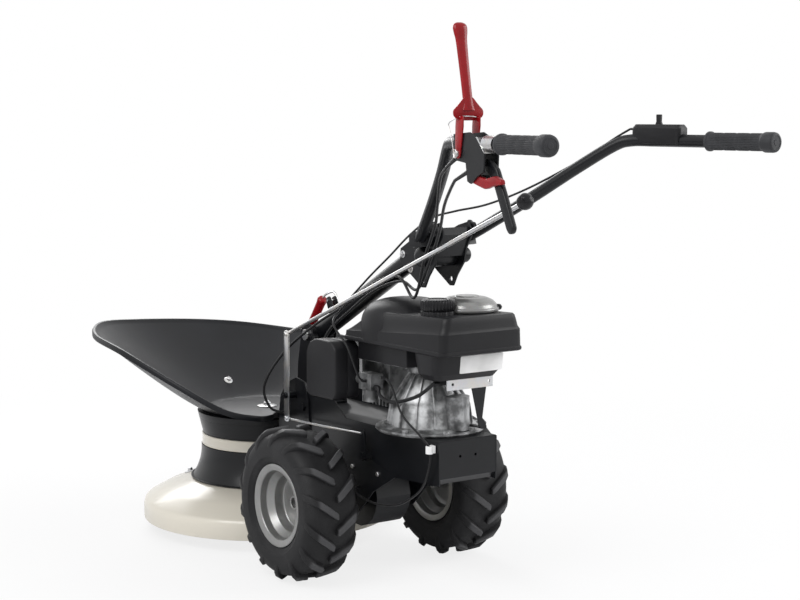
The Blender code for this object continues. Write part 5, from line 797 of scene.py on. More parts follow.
class MOWER_OT_neck(bpy.types.Operator):
    """Make the neck band, the upper cone, the guard dish and its bolts"""

    bl_idname = "mower.neck"
    bl_label = "Neck and Guard"

    def execute(self, context):
        self.band()
        self.cone()
        self.dish()
        self.bolts()
        return {"FINISHED"}

    def band(self):
        """Cream ring with a rolled lip at each edge, its web and hub, and the two arms to the chassis."""
        section = [
            (156, 202.5), (157.5, 204.5), (156.2, 207), (156, 224.5), (157.5, 227), (156, 229.5), (153, 229.5),
            (153, 202.5),
        ]
        web = [
            (153.5, 217.5), (34, 217.5), (34, 228.5), (26.3, 228.5), (26.3, 203.5), (34, 203.5), (34, 214.5),
            (153.5, 214.5),
        ]
        side = [(-130, 204.5), (-130, 228.5), (-158, 228.5), (-174, 280), (-285, 280), (-285, 245), (-200, 204.5)]
        shell = Shell().grid(ring_of(section, 112, 1.2), "round").grid(ring_of(web, 64, 0.8), "round")
        for low in (-70.2, 66.2):
            shell.grid(upright(rounded(side, 10, 5, closed=True), low, low + 4, 0.9))
        shell.build("neck_ring", "cream_paint", "chassis", ("neck_band",), sharp=30.0)

    def cone(self):
        """Upper cone in three storeys; the middle one leaves the belt's slot open at the back."""
        def at(z):
            return 154 + (z - 229.8) / 52.7 * 13

        def wall(low, high):
            return [(at(low), low), (at(high), high), (at(high) - 3, high), (at(low) - 3, low)]

        cap = [(at(267), 267), (167, 282.5), (6.3, 282.5), (6.3, 279.5), (164, 279.5), (at(267) - 3, 267)]
        shell = Shell().grid(ring_of(wall(229.8, 239), 112, 0.4), "round").grid(ring_of(cap, 112, 0.8), "round")
        half = math.asin(66 / 160)
        angle = np.linspace(-np.pi / 2 + half, 3 * np.pi / 2 - half, 100)[:, None]
        radius, height = np.array(wall(238.8, 267.2)).T
        shell.grid(np.stack([radius * np.cos(angle), radius * np.sin(angle), height + 0 * angle], axis=-1))
        shell.build("neck_shell", "black_paint", "chassis", ("neck_cone",), sharp=30.0)

    def dish(self):
        """Scoop: each ray from the axis climbs to the rim as its share to the power 1.15, then rolls over."""
        rim = curve_through(DISH_RIM, 9, closed=True)
        flat = np.linalg.norm(rim[:, :2], axis=1)
        outward = np.column_stack([rim[:, :2] / flat[:, None], np.zeros(len(rim))])
        up = np.array([0.0, 0.0, 1.0])
        floor_z = 287.1
        sheet = 4.0
        floor = np.minimum(148, flat - 8)
        shares = (0.03, 0.06, 0.10, 0.16, 0.24, 0.34, 0.45, 0.57, 0.69, 0.80, 0.90, 0.96)

        def at(share, drop=0.0):
            radius = floor + (flat - floor) * share + drop * 0.4 * min(1.0, share * 4.0)
            height = floor_z + (rim[:, 2] - floor_z) * share ** 1.15 - drop
            return outward * radius[:, None] + up * height[:, None]

        level = outward * (floor * 0.86)[:, None]
        rows = [outward * 6.4 + up * floor_z, outward * 50 + up * floor_z, level + up * floor_z]
        rows += [at(share) for share in (0.0, 0.012, *shares)]
        roll = [(5.2 - 5.2 * np.cos(a), 3.2 * np.sin(a)) for a in np.linspace(0.0, np.pi * 0.62, 7)]
        roll += [(9.5, -1), (9.5, -6), (9.5, -9.2), (6.6, -8.8), (5, -5)]
        rows += [rim + outward * out + up * rise for out, rise in roll]
        rows += [at(share, sheet) for share in (*shares[::-1], 0.0)]
        rows += [level + up * (floor_z - sheet), outward * 6.4 + up * (floor_z - sheet)]
        shell = Shell().grid(np.array(rows), "round")
        shell.build("guard_scoop", "dish_plastic", "chassis", ("guard_dish",), sharp=50.0)

    def bolts(self):
        """Centre bolt on its wide washer, and the bolt through the front wall."""
        centre = [(0, 287.2), (23.5, 287.2), (24, 289), (15, 290.2), (11, 290.4), (0, 290.4)]
        shell = Shell().grid(turned(rounded(centre, 0.6, 2), 40), "open")
        shell.grid(bolt_head(9.8, 290, 296, 8, 297.6, 0.8), "open")
        shell.grid(bolt_head(5.5, 270, 300, 4.5, 301, 0.6, 20), "open")
        shell.build("dish_centre_bolt", "zinc", "chassis", ("dish_bolt",), sharp=28.0)
        washer = turned(rounded([(0, -3), (11.2, -3), (11.2, 1.2), (0, 3)], 0.6, 2), 28)
        wall = Shell()
        for grid in (washer, bolt_head(6.2, 2, 7.8, 4.8, 8.8, 0.6)):
            wall.grid(placed(grid, (10, 206.5, 321.6), (0.0, -0.5875, 0.8092)), "open")
        wall.build("dish_wall_bolt", "zinc", "chassis", sharp=28.0)


DISH_RIM = [
    (0, -160, 300), (-70, -160, 301), (-110, -205, 305), (-175, -252, 316), (-250, -235, 337), (-330, -165, 395),
    (-385, -20, 455), (-370, 150, 472), (-292, 285, 480), (-165, 360, 470), (0, 382, 457), (130, 352, 444),
    (245, 262, 426), (308, 120, 417), (312, -30, 402), (272, -150, 365), (196, -222, 326), (115, -205, 306),
    (70, -160, 301),
]


# Wheels

class MOWER_OT_wheels(bpy.types.Operator):
    """Make both lugged tyres, both pressed rims and the axle"""

    bl_idname = "mower.wheels"
    bl_label = "Wheels"

    def execute(self, context):
        for side, word in ((-1.0, "left"), (1.0, "right")):
            self.tyre(word, side)
            self.rim(word, side)
        return {"FINISHED"}

    def turn(self, grid, side):
        """A grid made round +Z, laid on the axle with its +Z outward."""
        return placed(grid, (side * WHEEL_X, AXLE_Y, AXLE_Z), (side, 0.0, 0.0), (0.0, 1.0, 0.0))

    def tyre(self, word, side):
        """Carcass with a bead ring on each wall, and a chevron of curved bars laid over it."""
        wall = np.array([
            (76.5, 47), (89, 51.2), (93.5, 56), (99, 58.5), (103, 61), (103.5, 61.8), (106, 62.2), (127, 62.5),
            (140, 57.5), (148.5, 47), (152, 33),
        ])
        inner = np.array([(138, 36.5), (88.5, 50.5), (76.5, 38)])
        section = np.concatenate([wall, wall[::-1] * (1, -1), inner[::-1] * (1, -1), inner])
        shell = Shell().grid(self.turn(ring_of(section, 96, 6), side), "round")
        for index in range(LUGS):
            for half_side, stagger in ((1.0, 0.5), (-1.0, 0.0)):
                angle = 2.0 * np.pi * (index + stagger) / LUGS
                shell.grid(self.turn(self.bar(angle, half_side, side), side))
        shell.build(f"{word}_tyre_tread", "tyre_rubber", f"{word}_wheel", (f"{word}_tyre",), sharp=32.0)

    def bar(self, angle, half_side, side):
        """One lug: a rounded trapezoid carried over stations of the carcass from the middle to the wall.

        It grows toward the shoulder and fades down the wall, leaning with the wall's slope. The stations turn
        round the axle by 0.36 radians times the share of the way to the power 1.12.
        """
        s = np.array([0.0, 0.04, 0.16, 0.32, 0.50, 0.66, 0.78, 0.88, 0.96, 1.0])
        stations = [0.0, 0.50, 0.70, 0.82, 0.92, 1.0]
        radius = np.interp(s, stations, [151, 150.5, 145.5, 138, 129, 115])
        across = np.interp(s, stations, [1, 36, 50, 57, 60.5, 61])
        lean = np.interp(s, [0.0, 0.42, 0.70, 0.86, 1.0], [0.0, 0.05, 0.62, 1.25, 1.50])
        height = np.interp(s, [0.0, 0.04, 0.50, 0.72, 0.88, 1.0], [12.5, 14, 13.2, 8, 3, 0.8])
        width = np.interp(s, [0.0, 0.06, 0.5, 0.8, 1.0], [6, 7.6, 8, 8.8, 7.8])
        sweep = angle - side * 0.36 * s ** 1.12
        half = np.array([(0.78, 1.0), (0.94, 0.88), (1.12, 0.35), (1.25, -0.25)])
        section = np.concatenate([half[::-1] * (-1, 1), half])
        out = section[None, :, 1] * height[:, None]
        r = radius[:, None] + out * np.cos(lean)[:, None]
        z = across[:, None] + out * np.sin(lean)[:, None]
        a = sweep[:, None] + section[None, :, 0] * width[:, None] / 150
        return np.stack([r * np.cos(a), r * np.sin(a), half_side * z], axis=-1)

    def rim(self, word, side):
        """Pressed rim: flanges, beads and a deep well, a dished centre plate, and the hub round the axle's end."""
        section = [
            (88, 54.5), (89.3, 53), (87.5, 50.5), (77.8, 48.5), (76.2, 46), (76.2, 34.5), (64, 23), (63, 20),
            (63, -20), (64, -23), (76.2, -34.5), (76.2, -48), (87.5, -52.5), (87.5, -54.5), (73.5, -52.5),
            (73.2, -35), (60.5, -24), (59.8, -8), (48, -6.2), (30, -7), (16.5, -9.5), (15.5, -46), (10.4, -46),
            (10.4, 10), (11.8, 11), (15, 11), (15.6, 7), (16, -3), (31, -3.5), (47, -2.8), (57.5, -0.5), (59.7, 6),
            (60, 21), (72.5, 33.5), (73.2, 49), (75, 51), (84.5, 54),
        ]
        shell = Shell().grid(self.turn(ring_of(section, 96, 2.2), side), "round")
        shell.build(f"{word}_rim_pressing", "rim_silver", f"{word}_wheel", (f"{word}_rim",), sharp=34.0)
        axle = Shell().grid(self.turn(bolt_head(9.8, -20, 2.2, 8.6, 3, 0.5, 32), side), "open")
        axle.build(f"{word}_axle_end", "steel", "axle")


# Plates, stacks and flutes

def stacked(rows, steps):
    """Round-cornered outlines laid over one another; a row is half width, front, rear, corner and height."""
    quarter = np.linspace(0.0, np.pi / 2.0, steps)
    rings = []
    for half, front, rear, corner, z in rows:
        inner, ahead, behind = half - corner, front - corner, rear + corner
        centres = ((inner, ahead), (-inner, ahead), (-inner, behind), (inner, behind))
        for (x, y), turn in zip(centres, np.arange(4) * np.pi / 2.0):
            across, along = corner * np.cos(quarter + turn), corner * np.sin(quarter + turn)
            rings.append(np.column_stack([x + across, y + along, np.full(steps, z)]))
    return np.array(rings).reshape(len(rows), 4 * steps, 3)


def upright(outline, low, high, bevel, radius=0.0, steps=2):
    """A plate whose outline lies in Y and Z, its corners rounded, from low to high in X."""
    if radius:
        outline = rounded(outline, radius, 4, closed=True)
    return slab(outline, low, high, bevel, steps)[:, :, [2, 0, 1]]


def fluted(profile, steps, ribs, depth):
    """A turned surface with grooves: r falls by depth times the row's share times (1 - cos(ribs a)) / 2."""
    profile = np.asarray(profile, float)
    grid = turned(profile[:, :2], steps)
    groove = depth * profile[:, 2:] * (0.5 - 0.5 * np.cos(ribs * around(steps))) / np.maximum(profile[:, :1], 1.0)
    grid[:, :, :2] *= (1.0 - groove)[:, :, None]
    return grid


def bar_frame(side):
    """Rows across, along and up of a bar's straight end, and the place where it begins."""
    rows = np.array([(BAR_ALONG, side * BAR_ACROSS, 0.0), (-side * BAR_ACROSS, BAR_ALONG, 0.0), (0.0, 0.0, 1.0)])
    return rows, np.array(BAR_START) * (side, 1.0, 1.0)


def on_bar(points, side=-1.0):
    """Points across, along and up from the beginning of a bar's straight end, in the frame of the whole."""
    rows, start = bar_frame(side)
    return np.asarray(points, float) @ rows + start


def second_finish(piece, finish, chosen):
    """Give another finish to the faces whose centres the function chooses."""
    centres = np.empty(len(piece.data.polygons) * 3)
    piece.data.polygons.foreach_get("center", centres)
    piece.data.materials.append(finishes()[finish])
    piece.data.polygons.foreach_set("material_index", chosen(centres.reshape(-1, 3) * MM).astype(np.int32))
    piece.data.update()


class MOWER_OT_engine(bpy.types.Operator):
    """Make the engine's castings, cowl, caps, tank, filter box and small parts"""

    bl_idname = "mower.engine"
    bl_label = "Engine"

    def execute(self, context):
        self.castings()
        self.cowl()
        self.cap()
        self.starter()
        self.tank()
        self.filter_box()
        return {"FINISHED"}

    def castings(self):
        """Block, carburettor and silencer with softened edges, and the black housing of the fan over the block."""
        softened("engine_block", 0.7, "cast_aluminium")
        softened("carburettor", 0.6, "cast_aluminium")
        softened("muffler", 1.5)
        rib = [(76, 347.5), (90.5, 347.5), (84, 392), (66.5, 419.5), (45, 453), (38, 453), (58, 415), (76, 390)]
        shell = Shell()
        for angle in np.radians(np.arange(14) * 360.0 / 14 + 9.0):
            turn = np.array([(np.cos(angle), np.sin(angle), 0), (0, 0, 1), (np.sin(angle), -np.cos(angle), 0)])
            shell.grid(slab(rounded(rib, 4, 3, closed=True), -1.8, 1.8, 0.6) @ turn + np.array([0, ENGINE_Y, 0]))
        shell.build("crankcase_ribs", "cast_aluminium", "chassis", sharp=32.0)
        rows = [(84.5, -523.5, -696.5, 2, 472.2), (85.6, -521.3, -698.7, 2, 474), (85.6, -521.3, -698.7, 2, 511.6)]
        Shell().grid(stacked(rows, 4)).build("fan_housing_skin", "dark_plastic", "chassis", sharp=30.0)

    def cowl(self):
        """A belted box whose top sinks by 26 mm to the front, a dome of stacked ellipses and the filler's neck."""
        rows = [
            (100, -490, -842, 14, 512), (103.6, -486.4, -845.6, 16, 513.8), (104, -486, -846, 16, 517),
            (103.6, -486.4, -845.6, 16, 520.2), (102, -488.5, -844.2, 16, 521.6), (101.2, -489.5, -843.4, 16, 556),
            (100, -491.2, -842, 16, 558.2), (96.8, -502, -841.2, 16, 562.8), (94.5, -525, -840.4, 16, 572),
            (93, -540, -839.6, 16, 578), (91, -560, -838.5, 16, 584.5), (88.5, -575, -837, 16, 587.6),
            (85, -581, -834, 16, 588),
        ]
        belt = stacked(rows, 10)
        ahead = np.clip((belt[:, :, 1] + 660) / 170, 0.0, 1.0)
        high = np.clip((belt[:, :, 2] - 522) / 36, 0.0, 1.0)
        belt[:, :, 2] -= 26 * high * ahead ** 2 * (3.0 - 2.0 * ahead)
        levels = [
            (519, 100, 99.5), (545, 99.5, 98.5), (572, 93, 92), (590, 78, 76), (600, 54, 52), (603.5, 30, 28),
            (604.2, 0.6, 0.6),
        ]
        height, half_x, half_y = curve_through(levels, 5).T
        angle = around(72)
        across, along = np.outer(half_x, np.cos(angle)) - 6, np.outer(half_y, np.sin(angle)) - 590
        dome = np.stack([across, along, height[:, None] + 0 * angle], axis=-1)
        neck = [
            (0, 572, 0), (35, 572, 0), (35, 588, 1), (34.5, 592.5, 1), (32.5, 593.8, 0), (27, 594, 0), (27, 595.2, 0),
            (0, 595.2, 0),
        ]
        shell = Shell().grid(belt).grid(dome).grid(fluted(neck, 144, 18, 2.2) + CAP_PLACE, "open")
        shell.build("cowl_shell", "dark_plastic", "chassis", ("engine_cowl",), sharp=26.0)

    def cap(self):
        """Fuel cap with finger ribs and a sunk top."""
        profile = [
            (0, 595.3, 0), (33, 595.3, 0), (34.7, 596.6, 1), (35.5, 599, 1), (35.5, 612, 1), (34.6, 615, 0.7),
            (31.8, 616.8, 0), (21.5, 617.3, 0), (20, 616.3, 0), (0, 616, 0),
        ]
        cap = Shell().grid(fluted(profile, 264, 33, 1.6) + CAP_PLACE, "open")
        cap.build("fuel_cap_shape", "gloss_plastic", "cap", ("fuel_cap",), sharp=32.0)

    def starter(self):
        """Domed starter cover with a stepped rim, and the pull grip, whose radius falls to nothing at its ends."""
        profile = [
            (0, 588.3), (65.5, 588.3), (66, 595), (62.5, 596.5), (60, 603), (53, 610), (40, 615.5), (25, 617),
            (24, 619), (12, 619.3), (0, 619.3),
        ]
        cover = Shell().grid(turned(rounded(profile, 2, 3), 72) + STARTER_PLACE, "open")
        cover.build("starter_dome", "rim_silver", "chassis", ("starter_cover",), slot="dark_plastic", sharp=32.0)
        share = np.linspace(-1.0, 1.0, 21)
        line = np.array([78.5, -770, 594.8]) + share[:, None] * 20.9 * unit((0.82, -0.57, 0.0))
        radius = 6.4 * np.sqrt(1.0 - np.abs(share) ** 6 * 0.99) * (1.0 - 0.10 * np.cos(np.pi * share))
        grip = Shell().grid(swept(line, np.minimum(radius, 6.4), 20))
        grip.build("starter_pull_grip", "gloss_plastic", "starter_pull", ("starter_grip",), slot="dark_plastic")

    def tank(self):
        """Tank with softened edges, a bare plate on its rear, and the bracket and stay under it."""
        softened("fuel_tank", 1.6, "dark_plastic")
        outline = rounded([(-37, 0), (71, 0), (71, 36), (-37, 36)], 3, 4, closed=True)
        rows = np.array([(1.0, 0.0, 0.0), unit((0.0, -5.0, 40.7)), unit((0.0, -40.7, -5.0))])
        plate = Shell().grid(slab(outline, -0.2, 0.5, 0.2) @ rows + np.array([0, -813, 471.5]))
        plate.build("bare_plate", "bare_plate", "chassis", slot="dark_plastic")
        second_finish(softened("tank_bracket", 0.5, "zinc"), "black_paint", lambda centres: centres[:, 2] < 434)

    def filter_box(self):
        """Slab-sided filter box in two halves with a seam between them."""
        outline = [
            (-404, 392), (-404, 480), (-418, 502), (-440, 510.5), (-500, 510.5), (-519, 494), (-519, 400),
            (-512, 385), (-415, 385),
        ]
        inset = [(y + (1.2 if y < -460 else -1.2), z + (1.2 if z < 450 else -1.2)) for y, z in outline]
        shell = Shell().grid(upright(outline, -142, -109, 4, 8, 3)).grid(upright(inset, -109.5, -78.5, 1.5, 8))
        shell.build("filter_box_shell", "dark_plastic", "chassis", ("air_filter_box",), sharp=30.0)


class MOWER_OT_column(bpy.types.Operator):
    """Make the chassis sheet, the linkage, the column, its fork and its lock"""

    bl_idname = "mower.column"
    bl_label = "Chassis and Column"

    def execute(self, context):
        softened("chassis_frame", 0.8)
        softened("gearbox_housing", 2.5)
        for node in ("gear_lever", "column_base", "column_pin"):
            softened(node, 0.6)
        self.strap()
        self.rods(context.scene.mower_sizes)
        self.tube(context.scene.mower_sizes.column_tube * MM)
        self.lock()
        return {"FINISHED"}

    def strap(self):
        """Zinc strap with round ends, a bolt at its pivot and one at each rod, and the white clip of the stop cable."""
        outline = rounded([(-265, 298.5), (-245, 298.5), (-245, 504.5), (-265, 504.5)], 8, 5, closed=True)
        shell = Shell().grid(upright(outline, -101.5, -98.5, 0.4))
        head = bolt_head(5.8, 0, 3.4, 4.6, 4.4, 0.4)
        for z, scale in ((358, 1.15), (496.5, 0.8), (306, 0.8)):
            shell.grid(placed(head * scale, (-101.4, -255, z), (-1.0, 0.0, 0.0)), "open")
        shell.build("shift_strap", "zinc", "strap", ("strap_lever",), sharp=28.0)
        for name, y, z in (("side_bolt_578", -578.3, 231.4), ("side_bolt_483", -483, 232.1)):
            bolt = Shell().grid(placed(head * 0.9, (-73.5, y, z), (-1.0, 0.0, 0.0)), "open")
            bolt.build(name, "zinc", "chassis", slot="zinc")
        ring = ring_of([(3, -8), (7.8, -8), (7.8, 8), (3, 8)], 28, 1.5)
        tab = rounded([(-83, -784.5), (-74.8, -786), (-74.8, -770), (-80, -772)], 2, 3, closed=True)
        clip = Shell().grid(placed(ring, (-85, -777.7, 317)), "round").grid(slab(tab, 310.5, 326, 1.5))
        clip.build("cable_clip", "bare_plate", "chassis", slot="dark_plastic")

    def rods(self, sizes):
        """The push-rod and its ball: the ball's section is a circle that runs out into a short neck."""
        head = np.array([-93.7, -1068.4, 822.5])
        foot = np.array([-93.7, -256, 498.5])
        path = foot + (head - foot) * np.linspace(0.0, 0.999, 60)[:, None]
        rod = Shell().grid(swept(path, sizes.push_rod * MM, 20))
        rod.build("push_rod", "zinc", "shifter", ("shift_rod",))
        low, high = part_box("shift_knob")
        centre = (np.array(low) + np.array(high)) / 2.0 * MM
        angle = np.linspace(-np.pi / 2.0, np.pi / 2.0, 25)
        ball = sizes.ball * MM * np.column_stack([np.cos(angle), np.sin(angle)])
        section = np.concatenate([[(0, -16), (7, -16), (7.5, -15)], ball[ball[:, 1] > -13.8]])
        knob = Shell().grid(placed(turned(section, 40), centre, head - foot), "open")
        knob.build("ball_knob", "gloss_plastic", "shifter", ("shift_knob",), slot="dark_plastic")

    def tube(self, radius):
        """Round tube along the column's line, with the boss at its foot, the eye at its head and the lock's lugs."""
        foot = np.array(COLUMN_FOOT)
        rise = COLUMN_HEAD - foot
        along = unit(rise)
        up = np.array([0.0, along[2], -along[1]])
        line = foot + along * np.linspace(12, np.linalg.norm(rise) + 20, 12)[:, None]
        shell = Shell().grid(swept(line, radius, 36))
        for centre, outer, half, bore in ((COLUMN_FOOT, 22, 28.2, 8.6), (HEAD_PIVOT, 21.5, 33.7, 6.6)):
            section = ring_of([(bore, -half), (outer, -half), (outer, half), (bore, half)], 36, 1.2)
            shell.grid(placed(section, centre, (1.0, 0.0, 0.0)), "round")
        rows = np.array([along, up, (1.0, 0.0, 0.0)])
        lug = rounded([(-12, 0), (12, 0), (9, 38), (-9, 38)], 7, 5, closed=True)
        seat = foot + along * 85 + up * (radius - 4)
        for low in (-9, 6):
            shell.grid(slab(lug, low, low + 3, 0.5) @ rows + seat)
        shell.build("column_tube", "black_paint", "column", ("column",), sharp=32.0)

    def lock(self):
        """The lock's wire, and its sleeve with a rolled collar at each end."""
        softened("lock_wire", 0.0, "zinc")
        top = np.array([0.0, -252.0, 571.0])
        foot = np.array([0.0, -188.0, 487.0])
        reach = float(np.linalg.norm(foot - top))
        half = [(0, 0), (8.8, 0), (11.5, 3), (11.5, 10), (10.4, 14)]
        profile = [*half, (10, reach / 2.0), *((r, reach - z) for r, z in half[::-1])]
        sleeve = Shell().grid(placed(turned(rounded(profile, 1.5, 3), 32), top, foot - top), "open")
        sleeve.build("sleeve_grip", "red_plastic", "lock", ("lock_sleeve",))


class MOWER_OT_bars(bpy.types.Operator):
    """Make the head, the bars, the grips and the controls on them"""

    bl_idname = "mower.bars"
    bl_label = "Bars and Controls"

    def execute(self, context):
        self.head()
        self.tubes(context.scene.mower_sizes)
        self.stop_lever(context.scene.mower_sizes)
        self.clutch()
        self.throttle()
        return {"FINISHED"}

    def head(self):
        """Head plates, pivot bolt with its disc and boss, star knobs of five lobes and bolts on the left plate."""
        softened("head_bracket", 0.8)
        profile = [
            (0, -16), (10, -16), (19, -12), (21, 0), (6, 0), (6, 76.6), (16.5, 76.6), (16.5, 106.6), (12, 112.6),
            (0, 112.6),
        ]
        bolt = placed(turned(rounded(profile, 1.8, 3), 40), (-PLATE_X, *HEAD_PIVOT[1:]), (1.0, 0.0, 0.0))
        Shell().grid(bolt, "open").build("pivot_bolt", "black_paint", "bars", ("head_bolt",), sharp=32.0)
        lobes = [
            (0, 0, 0), (7, 0, 0), (7, 4, 0), (13.8, 4.8, 1), (16.2, 6.2, 1), (16.6, 9.2, 1), (16, 12.6, 1),
            (13.2, 15, 0.8), (7.5, 15.5, 0), (6.8, 14.8, 0), (0, 14.7, 0),
        ]
        for side, word in ((-1.0, "left"), (1.0, "right")):
            star = placed(fluted(lobes, 100, 5, 3.2), (side * PLATE_X, -738, 757), (side, 0.0, 0.0))
            knob = Shell().grid(star, "open")
            knob.build(
                f"{word}_star_knob", "gloss_plastic", f"{word}_clamp", (f"{word}_knob",), slot="dark_plastic", sharp=34.0)
        nut = turned(rounded([(0, 1.2), (5.6, 1.2), (5.6, 5), (3, 5), (2.8, 6.6), (0, 6.6)], 0.4, 2), 6)
        bolts = Shell()
        for y, z in ((-619.8, 698.8), (-659.5, 722.9), (-648, 670)):
            for grid in (disc_of(7.8, 0, 1.2, 0.3, 28), nut):
                bolts.grid(placed(grid, (-38.1, y, z), (-1.0, 0.0, 0.0)), "open")
        bolts.build("head_plate_bolts", "zinc", "bars", sharp=25.0)

    def tubes(self, sizes):
        """Bent tubes along a Catmull-Rom line, and grips with lengthwise ribs between a flange and a round end."""
        route = [
            (56, -702, 731), (78.8, -749, 760), (122.3, -841, 820), (164.7, -927, 880), (203, -996, 926.5),
            (219, -1028, 936.5),
            BAR_START,
        ]
        profile = [
            (12.3, 3, 0), (12.4, 0.2, 0), (17.5, 0, 0), (18.7, 1.2, 0), (18.7, 5, 0), (17, 6.8, 0), (16.3, 9, 0),
            (16.5, 11, 1),
        ]
        for z in (30, 60, 90):
            profile += [(16.5, z, 1), (15.8, z + 4, 1), (16.5, z + 8, 1)]
        profile += [
            (16.5, 120, 1), (16, 124, 0), (17.8, 127, 0), (18.9, 130, 0), (18.9, 146, 0), (18, 150, 0), (16, 151.8, 0),
            (13, 152, 0), (12.2, 151.2, 0), (6, 151.2, 0), (5.2, 152, 0), (0, 152, 0),
        ]
        grip = fluted(profile, 192, 32, 1.1)
        scale = sizes.grip * MM / 15.5
        for side, word in ((-1.0, "left"), (1.0, "right")):
            bend = curve_through(route, 6) * np.array([side, 1.0, 1.0])
            end = np.array([side * 265.5, -1352, 937])
            line = np.concatenate([bend, bend[-1] + (end - bend[-1]) * np.linspace(0.1, 0.9995, 10)[:, None]])
            tube = Shell().grid(swept(line, sizes.bar_tube * MM, 28))
            tube.build(f"{word}_bar_tube", "black_paint", "bars", (f"{word}_bar",), sharp=50.0)
            back = on_bar([(0, -132.8, 0), (0, -284.8, 0)], side)
            ribbed = Shell().grid(placed(grip * np.array([scale, scale, 1.0]), back[0], back[1] - back[0]), "open")
            ribbed.build(f"{word}_grip_rubber", "rubber", "bars", (f"{word}_grip",), sharp=40.0)

    def stop_lever(self, sizes):
        """Red stop lever: two cheeks, a winged paddle and a stem of ellipses; its bracket and spring."""
        y, z = -17, -18
        turn = np.radians(np.linspace(180.0, 360.0, 9))
        cheek = [(y + 9 * np.cos(a), z + 9 * np.sin(a)) for a in turn]
        cheek += [(-9, 30), (-11, 48), (-21.2, 48), (-35, 48), (-35, 30)]
        shell = Shell()
        for low in (16, -18.5):
            shell.grid(on_bar(upright(cheek, low, low + 2.5, 0.5, 3)))
        half = [(8, 82), (20, 68), (31, 58), (30, 47), (18, 40)]
        wing = rounded([*half, *((-x, up) for x, up in half[::-1])], 6, 4, closed=True)
        shell.grid(on_bar(slab(wing, -24.2, -20.8, 0.8)[:, :, [0, 2, 1]]))
        levels = [
            (0, 12.5, 4), (0.08, 10, 5.6), (0.3, 9.6, 6), (0.6, 10.4, 6.2), (0.8, 11.4, 6.6), (0.88, 13.4, 7.8),
            (0.94, 14.2, 8.2), (0.98, 12, 6.6), (1.0, 6, 3), (1.002, 0.4, 0.4),
        ]
        share, wide, deep = curve_through(levels, 5).T[:, :, None]
        middle = np.array([0, -24.5, 58]) + share * np.array([0, 33.5, 154])
        angle = around(28)
        stem = [wide * np.cos(angle), middle[:, 1:2] + deep * np.sin(angle), middle[:, 2:] + 0 * angle]
        shell.grid(on_bar(np.stack(stem, axis=-1)))
        shell.build("stop_lever", "red_paint", "deadman", ("deadman_lever",), sharp=30.0)
        pins = Shell()
        for side in (-1.0, 1.0):
            seat = placed(bolt_head(5.5, 0, 2.8, 4.5, 3.8, 0.4, 20), (side * 18.4, y, z), (side, 0.0, 0.0))
            pins.grid(on_bar(seat), "open")
        pins.build("stop_pivot_heads", "zinc", "deadman", slot="zinc", sharp=25.0)
        loop = [
            (15, -26.2, 46), (0, -26.2, 47.5), (-17, -25, 47), (-22.5, -10, 42), (-23, 4, 36), (-23, 6, 30),
            (-22.8, -4, 8), (-22.6, -9.5, -12), (-23, -11, -20), (-23.5, -17, -26), (-23.8, -23, -20),
            (-24, -20, -12), (-24.2, -14, -11),
        ]
        spring = Shell().grid(on_bar(swept(curve_through(loop, 6), sizes.spring_wire * MM, 8)))
        spring.build("return_spring", "zinc", "deadman")
        second_finish(softened("lever_bracket", 0.6, "black_paint"), "zinc", self.clamp_end)

    def clamp_end(self, centres):
        """Which points lie at the rear end of the lever bracket and near the bar's line."""
        rows, start = bar_frame(-1.0)
        across, ahead, up = ((centres - start) @ rows.T).T
        return (ahead < -89) & (np.hypot(across, up) < 15.6)

    def clutch(self):
        """Hand lever with a rounded edge, and the red latch beside it."""
        y, z = -85, -35
        outline = [
            (y + 10.5, z), (y + 6, z + 9), (y - 6, z + 9), (-118, -42), (-147, -92), (-173, -141), (-169, -150),
            (-159, -153), (-151, -146), (-126, -101), (-103, -60), (y + 3, z - 11),
        ]
        blade = Shell().grid(on_bar(upright(outline, -1, 9, 3, 5, 4)))
        blade.build("clutch_blade", "black_paint", "clutch", ("clutch_lever",), slot="dark_plastic", sharp=36.0)
        y, z = -54, -58
        outline = [
            (y + 7, z - 2), (y + 4, z + 7), (y - 10, z + 6), (-98, -60), (-128, -54), (-150, -60), (-152, -68),
            (-130, -70), (-98, -78), (y - 8, z - 12), (y + 3, z - 9),
        ]
        latch = Shell().grid(on_bar(upright(outline, -12, -2, 2.2, 5, 4)))
        latch.build("latch_shape", "red_plastic", "latch", ("clutch_latch",), sharp=36.0)

    def throttle(self):
        """Throttle housing with softened edges, and its thumb lever."""
        softened("throttle_box", 1.2)
        y, z = -12, 24
        turn = np.radians(np.linspace(150.0, 390.0, 15))
        outline = [(y + 10 * np.cos(a), z + 10 * np.sin(a)) for a in turn]
        outline += [(y + 5, z + 12), (y + 5.5, z + 26), (y - 5.5, z + 26), (y - 5, z + 12)]
        lever = Shell().grid(on_bar(upright(outline, -3, 3, 0.8, 1.5), 1.0))
        lever.build("thumb_lever", "dark_plastic", "throttle", ("throttle_lever",), sharp=36.0)


# Cables

